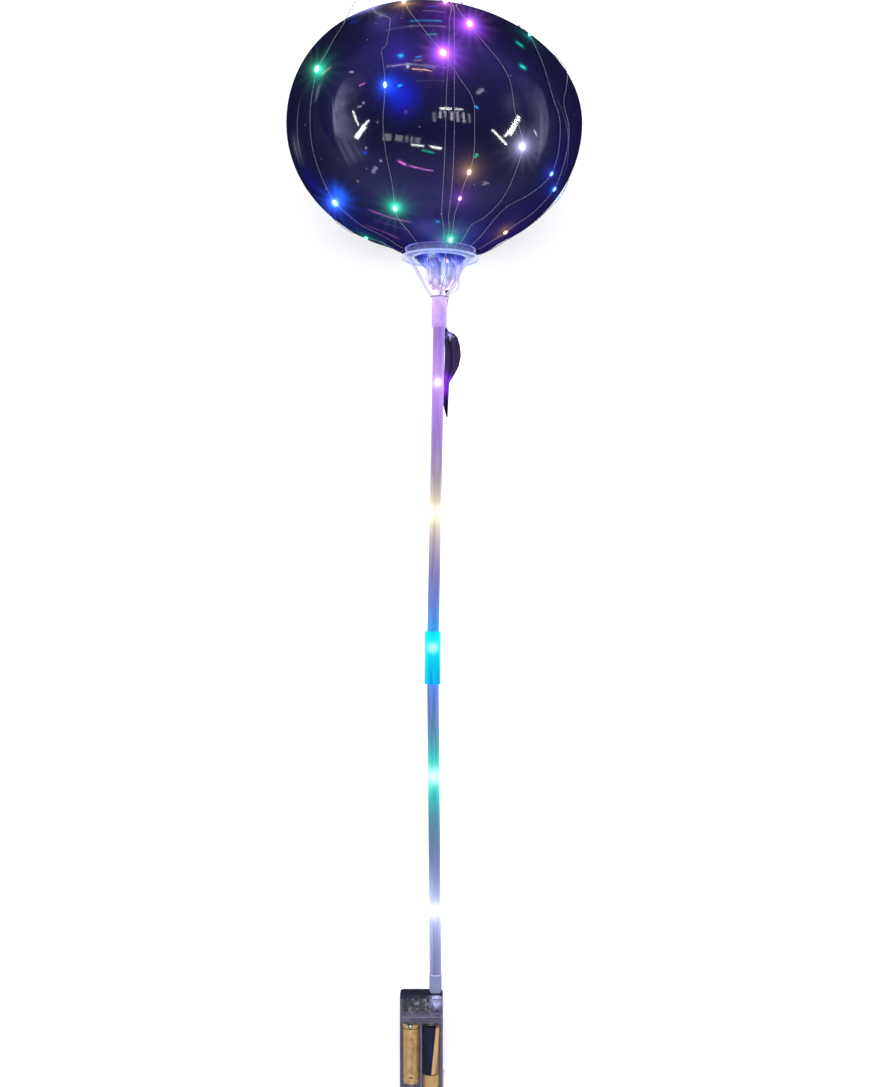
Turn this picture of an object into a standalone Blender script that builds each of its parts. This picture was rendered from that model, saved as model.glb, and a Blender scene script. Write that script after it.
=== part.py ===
"""A clear film balloon on a two-part stick, with a string of lights run from a battery case.

Modelled upright: the origin is on the stick's axis at the case's bottom end, +Z runs up the
stick and the front faces -Y. The root empty then lays the whole thing down on its back.
Metres throughout. Longitude on the film is 0 at the front and grows towards +X.
"""

import math

import bmesh
import bpy
import numpy as np
from mathutils import Matrix, Vector

# Balloon
BALLOON_CENTRE = Vector((-0.0010, 0, 0.8112))
BALLOON_RADIUS = 0.1235
BALLOON_UP = 0.0942
BALLOON_DOWN = 0.1024
BALLOON_SEGMENTS = 44
SWAY_AT_TOP = -0.0135
SWAY_AT_FOOT = 0.0042
FOOT_BELOW_CENTRE = 0.108
CONE_LATITUDE = -63.9
FLAT_SPOT_DEPTH = 0.0016
FILM_GAP = 0.0022
NECK_BLEND = (0.7240, 0.7125)
# The gathered neck hangs this far to the right in the holder, between these heights.
NECK_SHIFT, NECK_SHIFT_TOP, NECK_SHIFT_FULL, NECK_SHIFT_FOOT = 0.0030, 0.7020, 0.6930, 0.6760

# Balloon holder, heights from its flange
HOLDER_FOOT = Vector((0.0040, 0, 0.7024))
FLANGE_OUTER, FLANGE_INNER, FLANGE_THICK = 0.0332, 0.0225, 0.0017
COLLAR_OUTER, COLLAR_WALL, COLLAR_TOP = 0.0297, 0.0012, 0.0076
STRUT_ANGLES = (-35, -155, 85)
STRUT_WIDTH, STRUT_THICK = 0.0046, 0.0015
STRUT_LINE = ((0.0293, -0.0006), (0.0092, -0.0305), (0.0060, -0.0335))
CLIP_LINE = (
    (0.0165, -0.0190), (0.0186, -0.0195), (0.0194, -0.0220), (0.0184, -0.0270),
    (0.0164, -0.0296), (0.0135, -0.0302),
)
CLIP_WIDTH, CLIP_THICK = 0.0026, 0.0011
SOCKET_TOP, SOCKET_FOOT = -0.0321, -0.0586
SOCKET_OUTER_TOP, SOCKET_OUTER_FOOT, SOCKET_BORE = 0.0068, 0.0064, 0.0053
SOCKET_RIM, SOCKET_RIM_TALL = 0.0079, 0.0014
SOCKET_LIP, SOCKET_LIP_HOLE = 0.0019, 0.0040

# Stick
TUBE_OUTER, TUBE_INNER = 0.0050, 0.0040
STICK_JOINT = Vector((-0.0024, 0, 0.3670))
LOWER_TUBE_FOOT, UPPER_TUBE_TOP, TUBE_END_GAP = 0.1023, 0.6680, 0.0010
SLEEVE_OUTER, SLEEVE_INNER, SLEEVE_LENGTH = 0.0068, 0.0056, 0.0441

# Battery case
CASE_LEFT, CASE_RIGHT, CASE_DEPTH, CASE_HEIGHT = -0.0297, 0.0062, 0.0190, 0.0860
CASE_WALL, CASE_ROUNDING = 0.0015, 0.0022
PARTITION_FOOT, PARTITION_TOP = 0.0625, 0.0660
DIVIDER_X, DIVIDER_THICK = -0.0121, 0.0012
COVER_THICK, COVER_TOP, FIT_GAP = 0.0013, 0.0642, 0.0003
GRIP_FOOT, GRIP_TOP, GRIP_OUT, GRIP_BACK = 0.0050, 0.0236, 0.0011, -0.0055
SPIGOT_COLLAR, SPIGOT_COLLAR_TOP = 0.0052, 0.1020
SPIGOT_PLUG, SPIGOT_PLUG_TOP, SPIGOT_BORE = 0.0037, 0.1140, 0.0025

# Cells and contacts
CELL_RADIUS, CELL_LENGTH, CELL_Y = 0.00725, 0.0505, 0.0004
CELL_LEFT_X, CELL_LEFT_FOOT = -0.0204, 0.01105
CELL_RIGHT_X, CELL_RIGHT_FOOT = -0.0038, 0.0073
CONTACT_THICK, CONTACT_HALF_DEPTH = 0.00035, 0.0050
CONTACT_TOP = PARTITION_FOOT - FIT_GAP
TAB_HALF, TAB_Y, TAB_TOP = 0.0015, 0.0055, 0.0700
SPRING_WIRE = 0.0004

# Light string
WIRE_RADIUS, WIRE_LIFT = 0.00035, 0.0010
CROSSING_LIFT = 0.0024
BEAD_RADIUS, BEAD_LENGTH, BEAD_LIFT = 0.0013, 0.0050, 0.0020
NECK_DEGREE = 0.0020
MOST_SAG, MOST_SEGMENT = 0.00034, 0.0200
STICK_LIGHTS = (0.1557, 0.2683, 0.3758, 0.4884, 0.5976)
WIRE_INTO_NECK = ((0.0005, -0.0026, 0.6670), (0.0007, -0.0032, 0.6712), (0.0012, -0.0062, 0.6742))


# Collections and materials
def start_scene():
    for old in list(bpy.data.objects):
        bpy.data.objects.remove(old, do_unlink=True)
    for name in ("led_balloon", "helpers"):
        collection = bpy.data.collections.new(name)
        bpy.context.scene.collection.children.link(collection)
    bpy.data.collections["helpers"].hide_render = True
    root = bpy.data.objects.new("led_balloon_root", None)
    root.empty_display_size = 0.05
    bpy.data.collections["led_balloon"].objects.link(root)
    return root


def material(name, colour, roughness, metallic=0.0, transmission=0.0):
    made = bpy.data.materials.new(name)
    made.use_nodes = True
    shader = made.node_tree.nodes["Principled BSDF"]
    shader.inputs["Base Color"].default_value = (*colour, 1)
    shader.inputs["Roughness"].default_value = roughness
    shader.inputs["Metallic"].default_value = metallic
    shader.inputs["Transmission Weight"].default_value = transmission
    return made


# Building blocks
def add_object(name, data, look=None, smooth=None):
    """A named piece under the root; without a look it is a helper for a Boolean."""
    obj = bpy.data.objects.new(name, data)
    bpy.data.collections["led_balloon" if look else "helpers"].objects.link(obj)
    obj.parent = bpy.data.objects["led_balloon_root"]
    if look:
        data.materials.append(look)
    else:
        obj.hide_render = True
        obj.display_type = "WIRE"
    if smooth:
        data.shade_smooth()
        data.set_sharp_from_angle(angle=math.radians(smooth))
    return obj


def box(name, low, high, look=None):
    bm = bmesh.new()
    bmesh.ops.create_cube(bm, size=1)
    low, high = Vector(low), Vector(high)
    bmesh.ops.scale(bm, vec=high - low, verts=bm.verts)
    bmesh.ops.translate(bm, vec=(low + high) / 2, verts=bm.verts)
    mesh = bpy.data.meshes.new(name)
    bm.to_mesh(mesh)
    bm.free()
    return add_object(name, mesh, look)


def turned(name, profile, steps, look=None, ring=False):
    """Turns (radius, height) points, listed down the outer side; a ring's profile closes on itself."""
    mesh = bpy.data.meshes.new(name)
    edges = [(i, i + 1) for i in range(len(profile) - 1)]
    if ring:
        edges.append((len(profile) - 1, 0))
    mesh.from_pydata([(r, 0, z) for r, z in profile], edges, [])
    obj = add_object(name, mesh, look)
    screw = obj.modifiers.new("turn", "SCREW")
    screw.steps = screw.render_steps = steps
    screw.use_merge_vertices = True
    screw.merge_threshold = 0.00001
    screw.use_smooth_shade = True
    return obj


def made_mesh(obj, smooth=30):
    """The same object with its modifiers or its curve turned into a plain mesh."""
    bpy.context.view_layer.update()
    evaluated = obj.evaluated_get(bpy.context.evaluated_depsgraph_get())
    mesh = bpy.data.meshes.new_from_object(evaluated)
    bm = bmesh.new()
    bm.from_mesh(mesh)
    bmesh.ops.remove_doubles(bm, verts=bm.verts, dist=0.000001)
    bmesh.ops.recalc_face_normals(bm, faces=bm.faces)
    bm.to_mesh(mesh)
    bm.free()
    name, place = obj.name, obj.matrix_basis.copy()
    look = obj.data.materials[0] if obj.data.materials else None
    bpy.data.objects.remove(obj)
    mesh.materials.clear()
    result = add_object(name, mesh, look, smooth)
    result.matrix_basis = place
    return result


def band(name, centreline, thickness, width):
    """A flat strip: a centreline in the X-Z plane given its thickness there, extruded along Y."""
    points = [Vector(p) for p in centreline]
    sides = []
    for i, point in enumerate(points):
        along = points[min(i + 1, len(points) - 1)] - points[max(i - 1, 0)]
        sides.append(Vector((-along.y, along.x)).normalized() * thickness / 2)
    outline = [p + s for p, s in zip(points, sides)]
    outline += [p - s for p, s in reversed(list(zip(points, sides)))]
    curve = bpy.data.curves.new(name, "CURVE")
    curve.dimensions, curve.fill_mode, curve.extrude = "2D", "BOTH", width / 2
    spline = curve.splines.new("POLY")
    spline.points.add(len(outline) - 1)
    for place, point in zip(spline.points, outline):
        place.co = (point.x, point.y, 0, 1)
    spline.use_cyclic_u = True
    obj = add_object(name, curve)
    obj.matrix_basis = Matrix.Rotation(math.radians(90), 4, "X")
    return made_mesh(obj)


def wire(name, points, radius, look=None, radii=None):
    """A four-sided wire through the points, each of which may have a radius of its own."""
    curve = bpy.data.curves.new(name, "CURVE")
    curve.dimensions, curve.bevel_depth, curve.bevel_resolution = "3D", radius, 0
    curve.use_fill_caps = True
    spline = curve.splines.new("POLY")
    spline.points.add(len(points) - 1)
    for i, point in enumerate(points):
        spline.points[i].co = (*point, 1)
        spline.points[i].radius = radii[i] / radius if radii else 1
    return made_mesh(add_object(name, curve, look))


def combine(target, tool, operation):
    step = target.modifiers.new(tool.name, "BOOLEAN")
    step.operation, step.solver, step.object = operation, "EXACT", tool


def lean_between(low, high):
    """The turn about Y that lays +Z along the line from low to high."""
    return math.atan2(high.x - low.x, high.z - low.z)


def smoothstep(value):
    value = min(max(value, 0), 1)
    return value * value * (3 - 2 * value)


# Lie of the stick
SPIGOT_TOP = Vector((0, 0, SPIGOT_COLLAR_TOP))
LOWER_LEAN = lean_between(SPIGOT_TOP, STICK_JOINT)
UPPER_LEAN = lean_between(STICK_JOINT, HOLDER_FOOT)
HOLDER_FRAME = Matrix.Translation(HOLDER_FOOT) @ Matrix.Rotation(UPPER_LEAN, 4, "Y")


def stick_x(height):
    lean = LOWER_LEAN if height < STICK_JOINT.z else UPPER_LEAN
    return STICK_JOINT.x + (height - STICK_JOINT.z) * math.tan(lean)


# The film's shape
def neck_profile():
    """(radius, height) from the cone's start, over the collar's rim and down to the tied neck."""
    flange = HOLDER_FOOT.z
    start_r = BALLOON_RADIUS * math.cos(math.radians(CONE_LATITUDE))
    start_z = BALLOON_CENTRE.z + BALLOON_DOWN * math.sin(math.radians(CONE_LATITUDE))
    rim_middle = COLLAR_OUTER - COLLAR_WALL / 2
    over_rim = COLLAR_WALL / 2 + FILM_GAP
    arc_centre = flange + COLLAR_TOP + FILM_GAP - over_rim
    points = [(start_r, start_z), (0.0370, flange + 0.0075), (0.0332, flange + 0.0060)]
    for degrees in range(0, 181, 45):
        turn = math.radians(degrees)
        points.append((rim_middle + over_rim * math.cos(turn), arc_centre + over_rim * math.sin(turn)))
    points += [(0.0244, flange + 0.0050), (0.0206, flange + 0.0030), (0.0198, flange - 0.0004)]
    points += [(0.0175, flange - 0.0054), (0.0145, flange - 0.0104), (0.0140, flange - 0.0164)]
    points += [(0.0090, flange - 0.0234), (0.0055, flange - 0.0264)]
    return points


def film_profile():
    points = [(0, BALLOON_CENTRE.z + BALLOON_UP)]
    for latitude in (81, 72, 63, 54, 45, 36, 27, 18, 9, 0, -9, -18, -27, -36, -45, -54.5):
        radius, height, _ = film_at(latitude)
        points.append((radius, height))
    return points + neck_profile() + [(0, HOLDER_FOOT.z - 0.0270)]


def film_at(latitude):
    """Radius, height and outward normal (radial, upward); past the cone the latitude counts length."""
    if latitude >= CONE_LATITUDE:
        turn = math.radians(latitude)
        tall = BALLOON_UP if latitude > 0 else BALLOON_DOWN
        normal = Vector((math.cos(turn) / BALLOON_RADIUS, math.sin(turn) / tall)).normalized()
        return BALLOON_RADIUS * math.cos(turn), BALLOON_CENTRE.z + tall * math.sin(turn), normal
    profile = np.array(neck_profile())
    lengths = np.append(0, np.cumsum(np.hypot(*np.diff(profile, axis=0).T)))
    walked = (CONE_LATITUDE - latitude) * NECK_DEGREE
    near = [walked - 0.0015, walked, walked + 0.0015]
    before, here, after = (
        Vector((np.interp(d, lengths, profile[:, 0]), np.interp(d, lengths, profile[:, 1])))
        for d in near
    )
    along = after - before
    return here.x, here.y, Vector((-along.y, along.x)).normalized()


def placed(point):
    """The balloon sways over the stick, and its neck follows the holder's lean."""
    up = point.z - BALLOON_CENTRE.z
    if up > 0:
        sway = SWAY_AT_TOP * (up / BALLOON_UP) ** 2
    else:
        sway = SWAY_AT_FOOT * (-up / FOOT_BELOW_CENTRE) ** 3
    body = point + Vector((BALLOON_CENTRE.x + sway, 0, 0))
    pulled = min(
        (NECK_SHIFT_TOP - point.z) / (NECK_SHIFT_TOP - NECK_SHIFT_FULL),
        (point.z - NECK_SHIFT_FOOT) / (NECK_SHIFT_FULL - NECK_SHIFT_FOOT),
    )
    shift = Vector((NECK_SHIFT * smoothstep(pulled), 0, -HOLDER_FOOT.z))
    neck = HOLDER_FRAME @ (point + shift)
    high, low = NECK_BLEND
    return body.lerp(neck, smoothstep((high - point.z) / (high - low)))


def film_point(latitude, longitude, lift):
    radius, height, normal = film_at(latitude)
    radius += normal.x * lift
    height += normal.y * lift
    turn = math.radians(longitude)
    return placed(Vector((radius * math.sin(turn), -radius * math.cos(turn), height)))


# How it lies: on the case's back edge and a small flat spot under the balloon
def lying_tilt():
    def gap(tilt):
        sine, cosine = math.sin(tilt), math.cos(tilt)
        balloon = BALLOON_CENTRE.z * sine - math.hypot(BALLOON_RADIUS * cosine, BALLOON_DOWN * sine)
        return balloon + FLAT_SPOT_DEPTH - floor_level(tilt)

    low, high = 0.0, 0.4
    for _ in range(50):
        middle = (low + high) / 2
        low, high = (middle, high) if gap(middle) < 0 else (low, middle)
    return low


def floor_level(tilt):
    """Height of the case's lowest edge once tilted: its back, where the end's rounding begins."""
    return CASE_ROUNDING * math.sin(tilt) - CASE_DEPTH / 2 * math.cos(tilt)


TILT = lying_tilt()


# Balloon
# Rows of the tail: height, then (across, back) from the stick's axis for its two edges.
TAIL_ROWS = (
    (0.6790, (0.0000, 0.0050), (0.0050, -0.0010)),
    (0.6768, (0.0045, 0.0072), (0.0077, 0.0034)),
    (0.6740, (0.0056, 0.0086), (0.0086, 0.0052)),
    (0.6690, (0.0046, 0.0090), (0.0076, 0.0062)),
    (0.6600, (0.0030, 0.0088), (0.0064, 0.0068)),
    (0.6480, (0.0026, 0.0088), (0.0062, 0.0068)),
    (0.6425, (0.0032, 0.0078), (0.0077, 0.0060)),
    (0.6400, (0.0038, 0.0070), (0.0128, 0.0052)),
    (0.6362, (0.0046, 0.0060), (0.0161, 0.0045)),
    (0.6300, (0.0052, 0.0050), (0.0180, 0.0038)),
    (0.6210, (0.0054, 0.0045), (0.0191, 0.0031)),
    (0.6119, (0.0052, 0.0044), (0.0174, 0.0032)),
    (0.6043, (0.0049, 0.0045), (0.0134, 0.0036)),
    (0.5984, (0.0048, 0.0046), (0.0097, 0.0040)),
    (0.5886, (0.0047, 0.0047), (0.0094, 0.0042)),
    (0.5800, (0.0048, 0.0047), (0.0091, 0.0043)),
    (0.5692, (0.0078, 0.0045), (0.0088, 0.0044)),
)
TAIL_THICK, TAIL_FOLD = 0.0009, 0.0010


def make_tail():
    bm = bmesh.new()
    columns = 3
    bmesh.ops.create_grid(bm, x_segments=columns - 1, y_segments=len(TAIL_ROWS) - 1, size=1)
    corners = sorted(bm.verts, key=lambda v: (round(v.co.y, 4), round(v.co.x, 4)))
    for index, corner in enumerate(corners):
        height, left, right = TAIL_ROWS[index // columns]
        across = index % columns / (columns - 1)
        flat = Vector((*left, 0)).lerp(Vector((*right, 0)), across)
        fold = TAIL_FOLD * math.sin(math.pi * across) * (height < 0.645)
        corner.co = flat + Vector((stick_x(height), fold, height))
    bmesh.ops.recalc_face_normals(bm, faces=bm.faces)
    mesh = bpy.data.meshes.new("tail")
    bm.to_mesh(mesh)
    bm.free()
    tail = add_object("tail", mesh)
    solidify = tail.modifiers.new("thickness", "SOLIDIFY")
    solidify.thickness, solidify.offset = TAIL_THICK, 0
    return tail


def make_balloon(look):
    balloon = made_mesh(turned("balloon", film_profile(), BALLOON_SEGMENTS, look), smooth=50)
    bm = bmesh.new()
    bm.from_mesh(balloon.data)
    for corner in bm.verts:
        corner.co = placed(corner.co)
    up = Vector((0, -math.cos(TILT), math.sin(TILT)))
    everything = bm.verts[:] + bm.edges[:] + bm.faces[:]
    cut = bmesh.ops.bisect_plane(
        bm, geom=everything, plane_co=up * floor_level(TILT), plane_no=up, clear_inner=True
    )
    edges = [e for e in cut["geom_cut"] if isinstance(e, bmesh.types.BMEdge)]
    bmesh.ops.edgeloop_fill(bm, edges=edges)
    bmesh.ops.recalc_face_normals(bm, faces=bm.faces)
    bm.to_mesh(balloon.data)
    bm.free()
    combine(balloon, make_tail(), "UNION")


# Balloon holder
def make_holder(look):
    half = FLANGE_THICK / 2
    collar_inner = COLLAR_OUTER - COLLAR_WALL
    ring = (
        (collar_inner, COLLAR_TOP),
        (COLLAR_OUTER, COLLAR_TOP),
        (COLLAR_OUTER, half),
        (FLANGE_OUTER, half),
        (FLANGE_OUTER, -half),
        (FLANGE_INNER, -half),
        (FLANGE_INNER, half),
        (collar_inner, half),
    )
    holder = turned("balloon_holder", ring, 32, look, ring=True)
    lip = SOCKET_TOP - SOCKET_LIP
    socket = (
        (SOCKET_RIM - 0.0004, SOCKET_TOP - 0.0002),
        (SOCKET_RIM, SOCKET_TOP - SOCKET_RIM_TALL / 2),
        (SOCKET_RIM - 0.0002, SOCKET_TOP - SOCKET_RIM_TALL),
        (SOCKET_OUTER_TOP, SOCKET_TOP - SOCKET_RIM_TALL - 0.0004),
        (SOCKET_OUTER_FOOT, SOCKET_FOOT),
        (SOCKET_BORE, SOCKET_FOOT),
        (SOCKET_BORE, lip),
        (SOCKET_LIP_HOLE, lip),
        (SOCKET_LIP_HOLE, SOCKET_TOP - 0.0002),
    )
    tools = [turned("socket", socket, 18, ring=True)]
    for angle in STRUT_ANGLES:
        strut = band("strut", STRUT_LINE, STRUT_THICK, STRUT_WIDTH)
        strut.matrix_basis = Matrix.Rotation(math.radians(angle), 4, "Z") @ strut.matrix_basis
        tools.append(strut)
    clip = band("clip", CLIP_LINE, CLIP_THICK, CLIP_WIDTH)
    clip.matrix_basis = Matrix.Rotation(math.radians(STRUT_ANGLES[0]), 4, "Z") @ clip.matrix_basis
    tools.append(clip)
    holder.matrix_basis = HOLDER_FRAME
    for tool in tools:
        tool.matrix_basis = HOLDER_FRAME @ tool.matrix_basis
        combine(holder, tool, "UNION")


# Stick
def make_pipe(name, outer, inner, foot, top, lean, pivot, look):
    """A plain pipe with its origin at the pivot it leans about; foot and top count along the stick."""
    low, high = foot - pivot.z, top - pivot.z
    profile = ((outer, high), (outer, low), (inner, low), (inner, high))
    pipe = turned(name, profile, 20, look, ring=True)
    pipe.location = pivot
    pipe.rotation_euler.y = lean


def make_stick(tube_look, sleeve_look):
    joint = STICK_JOINT
    half_gap, half_sleeve = TUBE_END_GAP / 2, SLEEVE_LENGTH / 2
    lower = (LOWER_TUBE_FOOT, joint.z - half_gap, LOWER_LEAN)
    upper = (joint.z + half_gap, UPPER_TUBE_TOP, UPPER_LEAN)
    sleeve = (joint.z - half_sleeve, joint.z + half_sleeve, (LOWER_LEAN + UPPER_LEAN) / 2)
    make_pipe("lower_tube", TUBE_OUTER, TUBE_INNER, *lower, joint, tube_look)
    make_pipe("upper_tube", TUBE_OUTER, TUBE_INNER, *upper, joint, tube_look)
    make_pipe("connector_sleeve", SLEEVE_OUTER, SLEEVE_INNER, *sleeve, joint, sleeve_look)


# Battery case
def case_block(name, look):
    """The case's rounded outline, whole; the case and its cover are both cut from it."""
    half = CASE_DEPTH / 2
    block = box(name, (CASE_LEFT, -half, 0), (CASE_RIGHT, half, CASE_HEIGHT), look)
    bevel = block.modifiers.new("rounding", "BEVEL")
    bevel.width, bevel.segments = CASE_ROUNDING, 3
    return block


def make_case(look):
    half = CASE_DEPTH / 2
    left, right, back = CASE_LEFT + CASE_WALL, CASE_RIGHT - CASE_WALL, half - CASE_WALL
    outside = 0.0050
    case = case_block("battery_case", look)
    front = -half + COVER_THICK + FIT_GAP
    cover_room = box(
        "cover_room",
        (CASE_LEFT - outside, -half - outside, -outside),
        (CASE_RIGHT + outside, front, COVER_TOP + FIT_GAP),
    )
    cell_bay = box("cell_bay", (left, -half - outside, CASE_WALL), (right, back, PARTITION_FOOT))
    board_room = box(
        "board_room", (left, -back, PARTITION_TOP), (right, back, CASE_HEIGHT - CASE_WALL)
    )
    divider = box(
        "divider",
        (DIVIDER_X - DIVIDER_THICK / 2, -0.0040, 0.0026),
        (DIVIDER_X + DIVIDER_THICK / 2, back + CASE_WALL / 2, PARTITION_FOOT + 0.0005),
    )
    spigot = (
        (0, SPIGOT_PLUG_TOP),
        (SPIGOT_PLUG - 0.0004, SPIGOT_PLUG_TOP),
        (SPIGOT_PLUG, SPIGOT_PLUG_TOP - 0.0006),
        (SPIGOT_PLUG, SPIGOT_COLLAR_TOP),
        (SPIGOT_COLLAR, SPIGOT_COLLAR_TOP),
        (SPIGOT_COLLAR, CASE_HEIGHT + 0.0022),
        (SPIGOT_COLLAR - 0.0009, CASE_HEIGHT),
        (SPIGOT_COLLAR - 0.0009, CASE_HEIGHT - CASE_WALL + 0.0003),
        (0, CASE_HEIGHT - CASE_WALL + 0.0003),
    )
    bore = ((0, 0.1160), (SPIGOT_BORE, 0.1160), (SPIGOT_BORE, 0.0800), (0, 0.0800))
    combine(case, cover_room, "DIFFERENCE")
    combine(case, cell_bay, "DIFFERENCE")
    combine(case, board_room, "DIFFERENCE")
    combine(case, divider, "UNION")
    combine(case, turned("spigot", spigot, 20), "UNION")
    combine(case, turned("spigot_bore", bore, 16), "DIFFERENCE")
    for x in (CELL_LEFT_X, CELL_RIGHT_X):
        slot = box(
            "tab_slot",
            (x - TAB_HALF - 0.0004, TAB_Y - 0.0004, PARTITION_FOOT - 0.0005),
            (x + TAB_HALF + 0.0004, TAB_Y + 0.0008, PARTITION_TOP + 0.0005),
        )
        combine(case, slot, "DIFFERENCE")


def make_cover(look):
    half = CASE_DEPTH / 2
    outside = 0.0050
    cover = case_block("battery_cover", look)
    inner = -half + COVER_THICK
    room = box(
        "cover_plate",
        (CASE_LEFT - outside, -half - outside, -outside),
        (CASE_RIGHT + outside, inner, COVER_TOP),
    )
    front, side, least = -half + 0.0004, CASE_RIGHT + GRIP_OUT, 0.0001
    grip_front = box(
        "grip_front", (CASE_RIGHT - 0.0020, front, GRIP_FOOT), (side, inner, GRIP_TOP)
    )
    grip_side = box(
        "grip_side",
        (CASE_RIGHT + FIT_GAP, front + least, GRIP_FOOT + least),
        (side - least, GRIP_BACK, GRIP_TOP - least),
    )
    combine(cover, room, "INTERSECT")
    combine(cover, grip_front, "UNION")
    combine(cover, grip_side, "UNION")


# Cells
def make_cell(name, x, foot, positive_up, look):
    nub, shoulder = 0.0010, 0.0006
    profile = (
        (0, CELL_LENGTH),
        (0.0027, CELL_LENGTH),
        (0.0027, CELL_LENGTH - nub),
        (CELL_RADIUS - shoulder, CELL_LENGTH - nub),
        (CELL_RADIUS, CELL_LENGTH - nub - shoulder),
        (CELL_RADIUS, shoulder),
        (CELL_RADIUS - shoulder, 0),
        (0, 0),
    )
    cell = turned(name, profile, 20, look)
    cell.location = (x, CELL_Y, foot if positive_up else foot + CELL_LENGTH)
    cell.rotation_euler.x = 0 if positive_up else math.pi


# Contacts
def coil_points(x, start, end, turns, wide, narrow):
    """A cone-shaped coil standing at x, from its wide foot on the plate to its narrow end."""
    count = round(turns * 9)
    points = []
    for i in range(count + 1):
        share = i / count
        turn = 2 * math.pi * turns * share
        radius = wide + (narrow - wide) * share
        place = (x + radius * math.cos(turn), CELL_Y + radius * math.sin(turn))
        points.append((*place, start + (end - start) * share))
    return points


def contact_plate(name, left, right, foot, look):
    half = CONTACT_HALF_DEPTH
    return box(name, (left, -half, foot), (right, half, foot + CONTACT_THICK), look)


def add_solder_tab(plate, x, foot):
    """A tongue that runs back from the plate and turns up to the board."""
    foot += CONTACT_THICK / 4
    tongue = box(
        "tongue",
        (x - TAB_HALF, CONTACT_HALF_DEPTH - 0.0004, foot),
        (x + TAB_HALF, TAB_Y, foot + CONTACT_THICK / 2),
    )
    riser = box(
        "riser",
        (x - TAB_HALF * 0.99, TAB_Y - 0.0001, foot),
        (x + TAB_HALF * 0.99, TAB_Y + CONTACT_THICK, TAB_TOP),
    )
    combine(plate, tongue, "UNION")
    combine(plate, riser, "UNION")


def make_contacts(look):
    foot = CONTACT_TOP - CONTACT_THICK
    positive = contact_plate("contact_positive", -0.0250, -0.0134, foot, look)
    add_solder_tab(positive, CELL_LEFT_X, foot)
    negative = contact_plate("contact_negative", -0.0104, 0.0042, foot, look)
    add_solder_tab(negative, CELL_RIGHT_X, foot)
    reach = CELL_RIGHT_FOOT + CELL_LENGTH + FIT_GAP + SPRING_WIRE
    top_coil = coil_points(CELL_RIGHT_X, foot + CONTACT_THICK / 2, reach, 2.25, 0.0045, 0.0030)
    combine(negative, wire("top_coil", top_coil, SPRING_WIRE), "UNION")
    base = CASE_WALL + FIT_GAP
    bridge = contact_plate("contact_bridge", -0.0255, 0.0020, base, look)
    reach = CELL_LEFT_FOOT - FIT_GAP - SPRING_WIRE
    low_coil = coil_points(CELL_LEFT_X, base + CONTACT_THICK / 2, reach, 4.25, 0.0046, 0.0032)
    combine(bridge, wire("low_coil", low_coil, SPRING_WIRE), "UNION")
    leaf_top = CELL_RIGHT_FOOT - FIT_GAP - CONTACT_THICK / 2
    leaf_foot = base + CONTACT_THICK / 2
    leaf = ((-0.0084, leaf_foot), (-0.0070, leaf_top), (-0.0006, leaf_top), (0.0008, leaf_foot))
    combine(bridge, band("leaf", leaf, CONTACT_THICK, 0.0050), "UNION")


# Circuit board
# Parts on the board: left, right, foot and top on its face, and how far each stands out.
BOARD_PARTS = (
    (-0.0262, -0.0246, 0.0768, 0.0818, 0.0012),
    (-0.0199, -0.0179, 0.0768, 0.0822, 0.0016),
    (-0.0140, -0.0120, 0.0785, 0.0822, 0.0012),
    (-0.0074, -0.0052, 0.0700, 0.0768, 0.0018),
)


def make_board(look):
    face = 0.0040
    board = box("circuit_board", (-0.0268, face, 0.0680), (0.0030, 0.0052, 0.0830), look)
    for left, right, foot, top, out in BOARD_PARTS:
        part = box("board_part", (left, face - out, foot), (right, face + 0.0003, top))
        combine(board, part, "UNION")


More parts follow.
